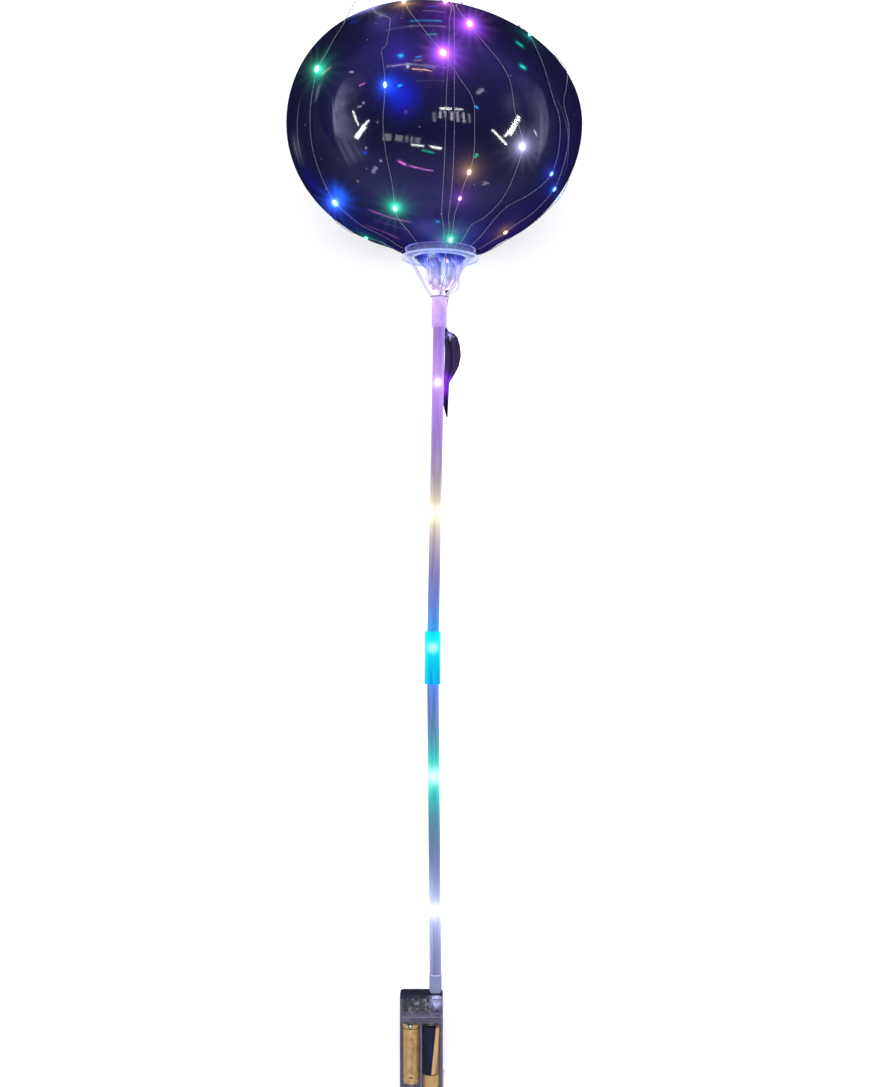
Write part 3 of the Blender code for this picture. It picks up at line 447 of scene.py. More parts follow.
def spun(bm, profile, steps):
    """A profile of (radius, height) turned once round the upright axis."""
    others = set(bm.verts)
    corners = [bm.verts.new((r, 0, z)) for r, z in profile]
    edges = [bm.edges.new(pair) for pair in zip(corners, corners[1:])]
    bmesh.ops.spin(
        bm, geom=corners + edges, cent=(0, 0, 0), axis=(0, 0, 1), angle=2 * math.pi, steps=steps,
        use_merge=True,
    )
    made = [v for v in bm.verts if v not in others]
    bmesh.ops.remove_doubles(bm, verts=made, dist=0.000002)


# The lights on the film by their run of the string: latitude, colour and strength.
FILM_LIGHTS = {
    "front_right": (
        (-89, "pink", 0.15), (-73, "green", 0.8), (-50, "violet", 0.3), (-38, "warm", 0.5),
        (9, "violet", 1.0), (48, "warm", 0.8),
    ),
    "back_left": ((60, "blue", 0.8), (12, "violet", 0.8), (-61, "green", 0.3)),
    "left": ((-44, "blue", 1.15), (11, "green", 0.85)),
    "front_left": ((49, "white", 0.7), (-4, "blue", 0.55), (-54, "green", 0.85)),
    "front": ((47, "pink", 0.6),),
    "back_right": ((60, "violet", 0.8), (14, "pink", 0.8), (-33, "blue", 0.3)),
    "far_right": ((-62, "warm", 0.3), (-35, "blue", 0.3)),
    "right": ((30, "teal", 0.3), (-31, "blue", 0.3)),
    "right_of_front": ((-25, "white", 0.85), (27, "violet", 1.0)),
}
# Lifts of the wire off the film: the usual one, at a light and where two runs cross.
WIRE_LIFT, BEAD_LIFT, HIGH = 0.001, 0.002, 0.0024
BEAD_REACH = 0.008
# The latitude where runs leave the cone, and that of the turns between them with their depth.
RUN_END, TURN_AT, TURN_DIP = -64, -78, 9
# Runs over the film in order, as (latitude, longitude) in degrees with a lift where it isn't the usual.
RUNS = {
    "front_right": (
        (-98, 11), (-90, 11), (-80, 12), (-64, 12), (-51, 13), (-44, 14), (-33, 16), (-21, 15),
        (-9, 13, HIGH), (-2, 8.5, HIGH), (4, 5.5, HIGH), (9, 3.2, HIGH), (17, -1, HIGH), (25, -4),
        (33, -7), (48, -11), (70, -20),
    ),
    "back_left": (
        (80, -60), (76, -108), (62, -126), (40, -131), (0, -128), (-30, -118), (-50, -104), (-64, -92),
    ),
    "left": (
        (-64, -69), (-44, -65), (-31, -59), (-19, -55), (2, -49), (11, -47), (18, -44), (26, -42),
        (36, -41), (47, -45, 0.002), (52, -43, 0.0065), (54.5, -38, 0.009),
    ),
    "front_left": (
        (53.5, -33, 0.008), (49, -30, 0.005), (44, -27, 0.0022), (39, -24), (35, -20), (32, -16.5),
        (27, -16), (18, -16.5), (14.5, -17), (13, -18.3), (8, -18), (-4, -17), (-18, -19), (-28, -20),
        (-44, -22), (-54, -26.5), (-64, -32),
    ),
    "front": (
        (-64, 3), (-33, 4), (-1, 4.5), (18, 6), (30, 8), (43, 11.6), (47, 11), (60, 8), (75, 5), (84, 50),
        (80, 105),
    ),
    "back_right": (
        (70, 124), (56, 129), (40, 130), (10, 122), (-12, 108), (-32, 92), (-48, 94), (-64, 100),
    ),
    "far_right": (
        (-64, 68), (-46, 73), (-35, 71), (-21, 65), (-11, 61), (-2, 54.5), (6, 57), (20, 66), (38, 74),
    ),
    "right": (
        (46, 65), (43, 54), (30, 46), (12, 44), (-3, 48), (-8, 52), (-17, 56), (-25, 59), (-36, 59),
        (-43, 54), (-52, 45), (-64, 45),
    ),
    "right_of_front": (
        (-64, 28), (-59, 35), (-52, 38), (-37, 38), (-25, 36.4), (-12, 30), (1, 26.7), (6, 24.4),
        (16, 19), (27, 15.3), (33.5, 14.5), (38, 14.4), (43, 15), (52, 22), (62, 34), (68, 38),
    ),
    "front_again": (
        (68, 26), (60, 19), (52, 15.5), (43, 13.4), (38, 12), (27, 9.3), (14, 7.6), (3, 7), (-25, 7.5),
        (-42, 8), (-64, 8), (-76, 8), (-84, 6),
    ),
}


def film_stations():
    """Every run's stations in order, joined by turns inside the collar; and where each run starts."""
    stations, starts = [], {}
    for name, run in RUNS.items():
        if stations and stations[-1][0] == run[0][0] == RUN_END:
            middle, half = (stations[-1][1] + run[0][1]) / 2, (run[0][1] - stations[-1][1]) / 2
            for degrees in range(0, 181, 30):
                turn = math.radians(degrees)
                dip = TURN_AT - TURN_DIP * math.sin(turn)
                stations.append((dip, middle - half * math.cos(turn), WIRE_LIFT))
        starts[name] = len(stations)
        stations += [(*station, WIRE_LIFT)[:3] for station in run]
    return stations, starts


stations, starts = film_stations()
on_film = smooth_path(stations, 0.5, 2)
run_starts, searched = [], 0
for name in RUNS:
    apart = np.abs(on_film[searched:, :2] - np.array(stations[starts[name]][:2])).sum(axis=1)
    searched += int(np.argmax(apart < 0.6))
    run_starts.append(searched)
run_spans = dict(zip(RUNS, zip(run_starts, run_starts[1:] + [len(on_film)])))
light_rows, light_looks = [], []
for name, lights in FILM_LIGHTS.items():
    first, end = run_spans[name]
    for latitude, colour, strength in lights:
        light_rows.append(first + int(np.argmin(np.abs(on_film[first:end, 0] - latitude))))
        light_looks.append((COLOURS[colour], strength))
usual = [film_point(*row) for row in on_film]
walked = np.append(0, np.cumsum([(b - a).length for a, b in zip(usual, usual[1:])]))
for row in light_rows:
    near = np.exp(-(((walked - walked[row]) / BEAD_REACH) ** 2))
    on_film[:, 2] = np.maximum(on_film[:, 2], WIRE_LIFT + (BEAD_LIFT - WIRE_LIFT) * near)
film_path = [film_point(*row) for row in on_film]
film_lights = [(film_path[row], *look) for row, look in zip(light_rows, light_looks)]

TIE_RADIUS, TIE_BELOW = 0.005, 0.0268
GATHER_FROM, GATHER_OVER, PLEATS, PLEAT_DEPTH = 0.004, 0.012, 11, 0.2
ball = [film_at(degrees)[:2] for degrees in range(90, -64, -2)]
ball[0] = (0, ball[0][1])
neck = [(max(r, TIE_RADIUS), z) for r, z in smooth_path(neck_profile(), 0.0012, 2)]
bm = bmesh.new()
spun(bm, ball + neck[1:] + [(0, HOLDER_FOOT.z - TIE_BELOW)], 144)
for corner in bm.verts:
    turn = math.atan2(corner.co.y, corner.co.x)
    gathered = smoothstep((HOLDER_FOOT.z + GATHER_FROM - corner.co.z) / GATHER_OVER)
    pleat = 0.5 + 0.5 * math.sin(PLEATS * turn + 3 * math.sin(2 * turn) + 60 * corner.co.z)
    shrink = 1 - PLEAT_DEPTH * gathered * pleat
    corner.co = LYING @ placed(Vector((corner.co.x * shrink, corner.co.y * shrink, corner.co.z)))
    corner.co.z = max(corner.co.z, 0)

film = Finish("dark clear film", {
    "Roughness": 0.1, "Specular IOR Level": 0.0, "Coat IOR": 1.5, "Coat Roughness": 0.06,
    "Emission Strength": 1.0,
})
place = film.place()
x, y, z = film.axes(place)
facing = film.facing()
ripple = film.noise(place, 14.0, 3.0)
# The film's colour tints it and is also emitted, so its tones are painted glow: lighter over the middle as a
# painted reflection of the room, darker towards the rim, and by height bluer at the foot and the top.
inner = film.ramp(facing + (ripple - 0.5) * 0.16, (0.0, 1.0), (0.29, 0.95), (0.37, 0.3), (0.6, 0.0))
FILM_FOOT, FILM_HEIGHT = 0.7, 0.2
risen = (z - FILM_FOOT) / FILM_HEIGHT
tint_and_glow_by_height = film.ramp(
    risen, (0.0, (0.008, 0.006, 0.07)), (0.1, (0.012, 0.01, 0.056)), (0.23, (0.006, 0.0055, 0.026)),
    (0.36, (0.001, 0.001, 0.013)), (0.5, (0.003, 0.0025, 0.02)), (0.65, (0.008, 0.006, 0.046)),
    (0.88, (0.01, 0.007, 0.06)), (0.96, (0.016, 0.012, 0.12)),
)
cloudy_tint_and_glow = film.times(tint_and_glow_by_height, film.ramp(ripple, (0.25, 0.6), (0.75, 1.4)))
edge = film.ramp(
    risen, (0.0, (0.004, 0.002, 0.045)), (0.25, (0.0012, 0.0009, 0.014)), (0.85, (0.0012, 0.0009, 0.014)),
    (0.98, (0.008, 0.006, 0.055)),
)
body = film.mix(inner, edge, cloudy_tint_and_glow)
# A painted reflection of the room: a pale crescent at each side of the film, sharp towards the rim.
CRESCENT_HEIGHT, CRESCENT_HALF, CRESCENT_FADE = 0.787, 0.013, 0.018
crescent = film.ramp(
    facing - x * 0.55 + (ripple - 0.5) * 0.06, (0.17, 0.0), (0.305, 1.0), (0.325, 0.0),
)
level = (z - CRESCENT_HEIGHT).within(CRESCENT_HALF, CRESCENT_FADE)
crescent = crescent * level * (0.75 - x * 3.5)
crescent = crescent * film.ramp(film.noise(place, 45.0, 3.0), (0.38, 0.25), (0.52, 1.0))
body = film.lit(body, crescent, (0.05, 0.052, 0.075))
# Painted glow on the film round each of its lights.
halos = [(c, colour, 1.1 * strength, 4.2) for c, colour, strength in film_lights]
# Wide washes of light on the film, by the pixel at their middle, with a reach in millimetres.
WASHES = (
    (402, 96, (0.0, 0.008, 0.55), 11), (401, 58, (0.02, 0.005, 0.2), 9),
    (425, 226, (0.02, 0.025, 0.12), 10), (390, 86, (0.0, 0.04, 0.7), 6), (339, 194, (0.0, 0.1, 0.75), 8),
    (448, 54, (0.16, 0.03, 0.5), 12), (470, 28, (0.14, 0.025, 0.42), 11),
    (450, 15, (0.05, 0.006, 0.17), 22), (395, 45, (0.01, 0.006, 0.11), 16),
    (386, 22, (0.04, 0.028, 0.18), 13), (515, 225, (0.004, 0.001, 0.03), 28),
    (455, 236, (0.016, 0.008, 0.13), 20), (345, 222, (0.0, 0.004, 0.06), 22),
    (312, 185, (0.0, 0.001, 0.09), 14), (395, 207, (0.0, 0.34, 0.24), 5.5),
    (322, 71, (0.0, 0.34, 0.26), 4.5), (369, 12, (0.4, 0.4, 1.5), 11), (525, 146, (0.04, 0.04, 0.13), 8),
    (340, 112, (0.02, 0.022, 0.03), 9), (350, 150, (0.014, 0.015, 0.024), 12),
    (296, 148, (0.045, 0.05, 0.062), 9), (512, 103, (0.03, 0.029, 0.046), 7),
    (537, 140, (0.022, 0.02, 0.04), 10), (562, 160, (0.002, 0.001, 0.045), 24),
)
# Painted glints on the film by their pixel, and painted streaks of reflected light by the pixels at their
# ends, each with a colour, a strength and a reach in millimetres.
FILM_SPOTS = (
    (359.5, 13.5, "cyan", 1.6, 0.9), (401, 55.8, "cyan", 2.0, 0.8), (407.8, 66.5, "grey", 1.6, 0.6),
    (531, 36, "teal", 2.0, 1.0), (438.7, 236, "violet", 1.6, 1.7), (437.8, 221.5, "cyan", 1.2, 0.8),
    (455.8, 228.7, "pink", 1.4, 0.8), (467, 228, "grey", 1.6, 0.6), (505.5, 238, "warm", 0.6, 1.0),
    (552, 189.5, "blue", 2.0, 1.3), (363.7, 103, "grey", 1.6, 0.35), (406, 112, "pink", 0.8, 0.5),
    (378, 122, "grey", 2.4, 0.35), (366, 148, "grey", 1.4, 0.35), (365, 153, "blue", 2.0, 0.5),
    (380.7, 161, "grey", 1.8, 0.35), (357.5, 181.5, "grey", 1.4, 0.35),
    (352.6, 25, 357.8, 23.4, "blue", 2.0, 0.9), (373, 11.5, 382, 17.3, "white", 0.8, 1.2),
    (411.6, 21.5, 440.5, 20.8, "cyan", 0.8, 0.6), (387, 31, 411, 26.5, "grey", 0.16, 0.6),
    (411, 26.5, 445, 26.5, "grey", 0.24, 0.6), (424, 10.8, 444.6, 11.8, "grey", 0.18, 0.6),
    (429, 6.5, 437.7, 6, "blue", 1.0, 0.7), (427, 34.6, 436, 34, "teal", 0.35, 0.6),
    (415, 60.5, 421, 60, "grey", 0.25, 0.5), (387, 66.5, 408, 64, "grey", 0.26, 0.5),
    (408, 64, 434, 67.5, "grey", 0.26, 0.5), (518.6, 42, 522, 44.6, "teal", 2.4, 0.8),
    (521.5, 65.8, 524.5, 67.7, "teal", 2.2, 0.7), (369, 210.6, 410, 222.8, "pink", 0.6, 0.5),
    (365, 226, 399, 238, "pink", 0.5, 0.5), (375, 221, 405, 229.7, "violet", 0.3, 0.6),
    (382, 243.6, 385, 246, "teal", 1.4, 0.8), (446, 237, 449, 239, "green", 1.4, 0.9),
    (497, 235, 503, 233.4, "warm", 1.2, 0.8), (358.5, 107, 361, 106.4, "grey", 1.0, 0.35),
    (350, 72, 353, 72, "grey", 0.8, 0.35), (322.5, 74, 330, 68, "warm", 0.5, 0.6),
)
washes = [(film_seen(*pixel)[0], colour, 1.0, reach) for *pixel, colour, reach in WASHES]
spots = []
for *pixels, name, strength, reach in FILM_SPOTS:
    ends = [film_seen(*pixels[k:k + 2])[0] for k in range(0, len(pixels), 2)]
    spots.append((ends if len(ends) > 1 else ends[0], COLOURS[name], strength, reach))
deep = film.glow(place, halos + spots, film.glow(place, washes, body, soft=True))
# Fine painted highlight lines run down the sides of the film, nearly upright, by the pixels at their ends,
# each with its light and its width in radians round the film.
RIM_HIGHLIGHT_LINES = (
    (300.5, 98, 304, 167, 0.24, 0.003), (293.5, 136, 300.5, 167, 0.14, 0.004),
    (321, 81, 315.5, 102, 0.09, 0.016), (332.5, 95, 336, 129, 0.08, 0.004),
    (556, 96, 561, 182, 0.08, 0.006), (566, 112, 563, 168, 0.1, 0.004),
    (540, 104, 536, 165, 0.045, 0.016), (343, 138, 356, 163, 0.034, 0.02),
    (337, 138, 350, 167, 0.026, 0.012), (351, 140, 363, 160, 0.022, 0.008),
)
longitude = x.sum("ARCTAN2", 0 - y)
for left, top, right, low, light, width in RIM_HIGHLIGHT_LINES:
    (head, _), (foot, _) = film_seen(left, top), film_seen(right, low)
    turns = [math.atan2(spot.x, -spot.y) for spot in (head, foot)]
    slope = (turns[0] - turns[1]) / (head.z - foot.z)
    on_line = (longitude - z * slope - (turns[1] - slope * foot.z)).within(width / 2, width)
    span = (z - (head.z + foot.z) / 2).within((head.z - foot.z) * 0.2, (head.z - foot.z) * 0.35)
    deep = film.lit(deep, on_line * span, (light, light, light * 1.15))
# Tiny bright specks of painted reflection, where the film mirrors other small lights.
speck = film.node("TexVoronoi", {}, {"Vector": place, "Scale": 75.0}, "Distance")
deep = film.lit(deep, speck.rise(0.022, 0.045, 0.3, 0.0), (0.9, 0.85, 1.0))
# Inside the holder the gathered film is lit through, blue above and lavender below.
LIT_FOOT, LIT_HEIGHT = 0.6756, 0.03
pleats = film.noise(film.drawn_out(place, 0.12), 260.0, 2.0)
lit = film.ramp(
    (z - LIT_FOOT) / LIT_HEIGHT, (0.0, (0.8, 0.58, 0.98)), (0.3, (0.5, 0.46, 0.95)),
    (0.62, (0.24, 0.29, 0.86)), (0.85, (0.03, 0.06, 0.62)), (1.0, (0.02, 0.03, 0.35)),
)
lit = film.times(lit, film.ramp(pleats, (0.35, 0.35), (0.55, 1.0), (0.66, 2.1)))
# Behind the collar and in its middle lit folds of it stand out, nearly white.
fold = (x - 0.0066).within(0.0009, 0.0018) * (z - 0.689).within(0.007, 0.004)
fold = fold + (x + 0.003).within(0.002, 0.003) * (z - 0.703).within(0.002, 0.003)
lit = film.lit(lit, fold, (0.45, 0.62, 0.8))
in_holder = z.rise(0.7075, 0.702)
film.set({
    "Base Color": film.times(body, 0.25),
    "Emission Color": film.mix(in_holder, deep, lit),
    "Alpha": film.ramp(facing, (0.0, 0.96), (0.5, 0.975), (0.9, 0.99)) - in_holder * (1 - pleats) * 0.5,
    "Coat Weight": film.ramp(facing, (0.0, 0.12), (0.35, 0.1), (0.5, 0.05), (0.7, 0.02), (0.85, 0.01)),
    "Normal": film.bump(film.noise(place, 5.0, 1.0), 0.06, 0.004),
})
seen_in_film.objects.link(add_piece("film_ball", bm, film, "balloon"))

# Tail
# The end of the film below the tie: two creased leaves of it hang beside the stick, folded double.
# Its rows give a height, then the left edge and the right edge, each across and back.
TAIL_ROWS = (
    (0.6768, 0.0045, 0.0072, 0.0077, 0.0034), (0.674, 0.0056, 0.0086, 0.0086, 0.0052),
    (0.669, 0.0046, 0.009, 0.0076, 0.0062), (0.66, 0.003, 0.0088, 0.0064, 0.0068),
    (0.648, 0.0026, 0.0088, 0.0062, 0.0068), (0.6425, 0.0032, 0.0078, 0.0077, 0.006),
    (0.64, 0.0038, 0.007, 0.0128, 0.0052), (0.6362, 0.0046, 0.006, 0.0161, 0.0045),
    (0.63, 0.0052, 0.005, 0.018, 0.0038), (0.621, 0.0054, 0.0045, 0.0191, 0.0031),
    (0.6119, 0.0052, 0.0044, 0.0174, 0.0032), (0.6043, 0.0049, 0.0045, 0.0134, 0.0036),
    (0.5984, 0.0048, 0.0046, 0.0097, 0.004), (0.5886, 0.0047, 0.0047, 0.0094, 0.0042),
    (0.58, 0.0048, 0.0047, 0.0091, 0.0043), (0.5692, 0.0078, 0.0045, 0.0088, 0.0044),
)
TAIL_COLUMNS, TAIL_STEPS, FILM_THICK = 13, 90, 0.0003
CREASE, FOLD, FOLDED_BELOW = 0.0007, 0.0012, 0.645
rows = np.array(TAIL_ROWS)[::-1]
bm = bmesh.new()
bmesh.ops.create_grid(bm, x_segments=TAIL_COLUMNS, y_segments=TAIL_STEPS, size=1)
for corner in bm.verts:
    across, down = (corner.co.x + 1) / 2, (corner.co.y + 1) / 2
    height = rows[0, 0] + (rows[-1, 0] - rows[0, 0]) * down
    left_x, left_y, right_x, right_y = (np.interp(height, rows[:, 0], rows[:, k]) for k in range(1, 5))
    width = right_x - left_x
    crease = CREASE * math.sin(9 * across + 70 * height) * min(width / 0.01, 1)
    fold = FOLD * math.sin(math.pi * across) * (height < FOLDED_BELOW)
    back = left_y + (right_y - left_y) * across + fold + crease
    corner.co = LYING @ Vector((stick_x(height) + left_x + width * across, back, height))
bmesh.ops.recalc_face_normals(bm, faces=bm.faces)
bmesh.ops.solidify(bm, geom=bm.faces[:], thickness=FILM_THICK)
creased = Finish("creased dark film", {
    "Roughness": 0.25, "Specular IOR Level": 0.3, "Alpha": 0.98, "Emission Strength": 1.0,
})
place = creased.place()
folds = creased.noise(creased.drawn_out(place, 0.16), 520.0, 3.0)
# The violet light in the tube shines through it, and its upper folds catch the light, drawn as
# streaks from (across, height) to (across, height).
CREASE_LIGHTS = (
    (0.0055, 0.642, 0.0125, 0.6372), (0.0045, 0.637, 0.011, 0.6402), (0.0088, 0.6415, 0.01, 0.6345),
)
beside = stick_x(0.64)
spills = [
    ((stick_x(VIOLET_AT) + 0.003, -0.002, VIOLET_AT), (0.3, 0.04, 1.0), 2.2, 9),
    ((beside + 0.008, 0.006, 0.64), (0.26, 0.23, 0.75), 0.35, 4.5),
]
for left, top, right, low in CREASE_LIGHTS:
    ends = [Vector((beside + left, 0.0062, top)), Vector((beside + right, 0.0058, low))]
    spills.append((ends, (0.6, 0.5, 1.0), 0.9, 0.6))
spill = creased.glow(place, spills, soft=True)
creased.set({
    "Base Color": creased.ramp(
        folds, (0.3, (0.005, 0.001, 0.018)), (0.55, (0.012, 0.003, 0.04)), (0.75, (0.05, 0.02, 0.14)),
    ),
    "Emission Color": creased.times(spill, creased.ramp(folds, (0.35, 0.25), (0.65, 1.2))),
    "Normal": creased.bump(folds, 0.8, 0.0008),
})
add_piece("film_tail", bm, creased, "balloon", smooth=60)

# Light string
# Two hair-thin lacquered copper wires twisted together, from the board up through the stick, in
# long runs over the film; each light is a tiny chip sealed between them in a clear drop of resin.
WIRE_INTO_NECK = ((0.0005, -0.0026, 0.667), (0.0007, -0.0032, 0.6712), (0.0012, -0.0062, 0.6742))
# How far the wires wander in the tubes, across and back, and over what length; and between which
# heights, in what steps.
WANDER_ACROSS, WANDER_BACK = (0.0012, 0.095), (0.001, 0.13)
WANDER_FOOT, WANDER_TOP, WANDER_STEP = 0.13, 0.65, 0.02
stick_stations = [(-0.002, 0.003, 0.078), (-0.001, 0.0018, 0.0825), (0.0002, 0, 0.088), (0, 0, 0.112)]
height = WANDER_FOOT
while height < WANDER_TOP:
    across = WANDER_ACROSS[0] * math.sin(height * 2 * math.pi / WANDER_ACROSS[1])
    back = WANDER_BACK[0] * math.cos(height * 2 * math.pi / WANDER_BACK[1])
    stick_stations.append((stick_x(height) + across, back, height))
    height += WANDER_STEP
for across, back, height in WIRE_INTO_NECK:
    stick_stations.append((stick_x(height) + across, back, height))
stick_path = [Vector(row) for row in smooth_path(stick_stations, 0.001, 3)]
STICK_LIGHTS = (
    (WHITE_AT, (0.6, 0.62, 1.0)), (GREEN_AT, (0.0, 0.72, 0.5)), (BLUE_AT, (0.0, 0.62, 1.0)),
    (WARM_AT, (1.0, 0.8, 0.48)), (VIOLET_AT, (0.62, 0.28, 1.0)),
)
stick_lights = [
    (min(stick_path, key=lambda p: abs(p.z - height)), colour, 1.0) for height, colour in STICK_LIGHTS
]
WIRE_STEP, TWIST_LENGTH, STRAND_OFFSET, STRAND_RADIUS = 0.0011, 0.007, 0.00018, 0.00017
path = np.array([tuple(LYING @ p) for p in stick_path + film_path])
walked = np.append(0, np.cumsum(np.linalg.norm(np.diff(path, axis=0), axis=1)))
places = np.arange(0, walked[-1], WIRE_STEP)
even = np.stack([np.interp(places, walked, path[:, k]) for k in range(3)], axis=1)
along = np.gradient(even, axis=0)
along /= np.linalg.norm(along, axis=1)[:, None]
side = np.cross(along, (0.31, 0.17, 0.93))
side /= np.linalg.norm(side, axis=1)[:, None]
other = np.cross(along, side)
turn = (places / TWIST_LENGTH * 2 * math.pi)[:, None]
offset = STRAND_OFFSET * (side * np.cos(turn) + other * np.sin(turn))
twisted = bpy.data.curves.new("string_wires", "CURVE")
twisted.dimensions, twisted.bevel_depth, twisted.bevel_resolution = "3D", STRAND_RADIUS, 1
twisted.use_fill_caps = True
for strand in (even + offset, even - offset):
    spline = twisted.splines.new("POLY")
    spline.points.add(len(strand) - 1)
    spline.points.foreach_set("co", np.column_stack([strand, np.ones(len(strand))]).ravel())
copper = Finish("lacquered copper wire", {"Metallic": 0.6, "Roughness": 0.35, "Emission Strength": 1.0})
place = copper.place()
# The wire's emission is painted light: a glow beside each light on the film, and a faint even glow all
# along.
halos = [(centre, colour, 0.9 * strength, 8) for centre, colour, strength in film_lights]
copper.set({
    "Base Color": copper.ramp(
        copper.noise(place, 300.0), (0.3, (0.08, 0.072, 0.12)), (0.7, (0.16, 0.145, 0.21)),
    ),
    "Emission Color": copper.glow(place, halos, (0.014, 0.012, 0.026)),
})
twisted.materials.append(copper.material)
wires = put("string_wires", twisted)
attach(wires, "root")
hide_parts("light_string")

DROP_RADIUS, DROP_LENGTH, DROP_GROWTH = 0.0012, 0.0018, 0.0006
bm = bmesh.new()
lit_as = bm.verts.layers.float_color.new("lit_as")
for centre, colour, strength in film_lights + stick_lights:
    centre = LYING @ centre
    row = int(np.argmin(np.linalg.norm(even - np.array(centre), axis=1)))
    turn = Vector(along[row]).to_track_quat("Z", "Y").to_matrix().to_4x4()
    drop = Matrix.Diagonal((DROP_RADIUS, DROP_RADIUS, DROP_LENGTH + DROP_GROWTH * strength, 1))
    made = bmesh.ops.create_uvsphere(
        bm, u_segments=16, v_segments=10, radius=1, matrix=Matrix.Translation(centre) @ turn @ drop
    )
    seen_light = 0.2 * colour[0] + 0.7 * colour[1] + 0.1 * colour[2]
    gain = strength**2 * 0.5 / max(0.25, seen_light)
    for corner in made["verts"]:
        corner[lit_as] = (*((0.9 * channel + 0.16 * seen_light) * gain for channel in colour), 1)
resin = Finish("lit resin drop", {
    "Roughness": 0.1, "Base Color": (0.3, 0.3, 0.35, 1), "Emission Strength": 30.0,
})
lit = resin.node("Attribute", {"attribute_name": "lit_as"}, {})
chip = resin.noise(resin.place(), 900.0)
resin.set({"Emission Color": resin.times(lit, resin.ramp(chip, (0.35, 0.75), (0.65, 1.15)))})
add_piece("light_drops", bm, resin, "light_string")

# Balloon holder
# One clear moulding: a collar that the film rests over, a flange, three struts that run down to a
# socket for the stick, and a small sprung hook that holds the string.
FLANGE_OUTER, FLANGE_INNER, FLANGE_THICK = 0.0332, 0.0225, 0.0017
STRUT_ANGLES, STRUT_WIDTH, STRUT_THICK = (-35, -155, 85), 0.0046, 0.0015
CLIP_WIDTH, CLIP_THICK = 0.0026, 0.0011
STRUT_LINE = ((0.0293, -0.0006), (0.0193, -0.0156), (0.0092, -0.0305), (0.006, -0.0335))
CLIP_LINE = (
    (0.0165, -0.019), (0.0186, -0.0195), (0.0194, -0.022), (0.0184, -0.027),
    (0.0164, -0.0296), (0.0135, -0.0302),
)
SOCKET_PROFILE = (
    (0.004, -0.0323), (0.0075, -0.0323), (0.0079, -0.0328), (0.0079, -0.0331), (0.0077, -0.0335),
    (0.0068, -0.0339), (0.0064, -0.0584), (0.0062, -0.0586), (0.0053, -0.0586), (0.0053, -0.034),
    (0.004, -0.034), (0.004, -0.0323),
)


def strap(bm, line, width, thick, turn):
    """A flat bar drawn along a line in the upright plane at an angle to the front."""
    points = [Vector((x, 0, z)) for x, z in smooth_path(line, 0.0012, 2)]
    bars = []
    for index, point in enumerate(points):
        ahead = points[min(index + 1, len(points) - 1)] - points[max(index - 1, 0)]
        out = Vector((-ahead.z, 0, ahead.x)).normalized() * thick / 2
        sideways = Vector((0, width / 2, 0))
        rim = (out * 0.7 + sideways, out + sideways * 0.86, out - sideways * 0.86, out * 0.7 - sideways)
        rim += tuple(-corner for corner in rim)
        bars.append([bm.verts.new(turn @ (point + corner)) for corner in rim])
        edges = [bm.edges.new((bars[-1][k - 1], bars[-1][k])) for k in range(len(rim))]
        if index in (0, len(points) - 1):
            bm.faces.new(bars[-1])
        if index:
            bmesh.ops.bridge_loops(bm, edges=before + edges)
        before = edges


bm = bmesh.new()
half = FLANGE_THICK / 2
inner_wall = COLLAR_OUTER - COLLAR_WALL
spun(bm, (
    (inner_wall, COLLAR_TOP - 0.0003), (inner_wall + 0.0003, COLLAR_TOP),
    (COLLAR_OUTER - 0.0003, COLLAR_TOP), (COLLAR_OUTER, COLLAR_TOP - 0.0003),
    (COLLAR_OUTER, half + 0.0004), (COLLAR_OUTER + 0.0004, half), (FLANGE_OUTER - 0.0006, half),
    (FLANGE_OUTER, half - 0.0006), (FLANGE_OUTER, -half + 0.0006), (FLANGE_OUTER - 0.0006, -half),
    (FLANGE_INNER + 0.0006, -half), (FLANGE_INNER, -half + 0.0006), (FLANGE_INNER, half - 0.0006),
    (FLANGE_INNER + 0.0006, half), (inner_wall - 0.0004, half), (inner_wall, half + 0.0004),
    (inner_wall, COLLAR_TOP - 0.0003),
), 96)
spun(bm, SOCKET_PROFILE, 48)
for angle in STRUT_ANGLES:
    strap(bm, STRUT_LINE, STRUT_WIDTH, STRUT_THICK, Matrix.Rotation(math.radians(angle), 4, "Z"))
strap(bm, CLIP_LINE, CLIP_WIDTH, CLIP_THICK, Matrix.Rotation(math.radians(STRUT_ANGLES[0]), 4, "Z"))
bmesh.ops.transform(bm, matrix=LYING @ HOLDER_FRAME, verts=bm.verts)
clear = Finish("clear moulding", {
    "Roughness": 0.12, "Coat Weight": 0.2, "Specular IOR Level": 0.4, "Emission Strength": 1.0,
})
place = clear.place(LYING @ HOLDER_FRAME)
_, _, height = clear.axes(place)
out = clear.node("VectorMath", {"operation": "LENGTH"}, {0: clear.times(place, (1.0, 1.0, 0.0))}, "Value")
cloud = clear.noise(place, 160.0, 3.0)
# Its foot and its whole height, and the height of a dark band painted round the socket's top rim.
HOLDER_DEPTH, HOLDER_HEIGHT, DARK_BAND_AT = 0.0586, 0.0662, -0.033
# The moulding's colour by height is painted glow of the lights inside it: it is emitted, and tints the
# moulding faintly too.
tint = clear.ramp(
    (height + HOLDER_DEPTH) / HOLDER_HEIGHT + (cloud - 0.5) * 0.12, (0.0, (0.56, 0.32, 0.98)),
    (0.34, (0.74, 0.48, 0.98)), (0.44, (0.72, 0.62, 0.96)), (0.7, (0.52, 0.52, 0.94)),
    (0.88, (0.38, 0.48, 1.0)), (1.0, (0.22, 0.2, 0.8)),
)
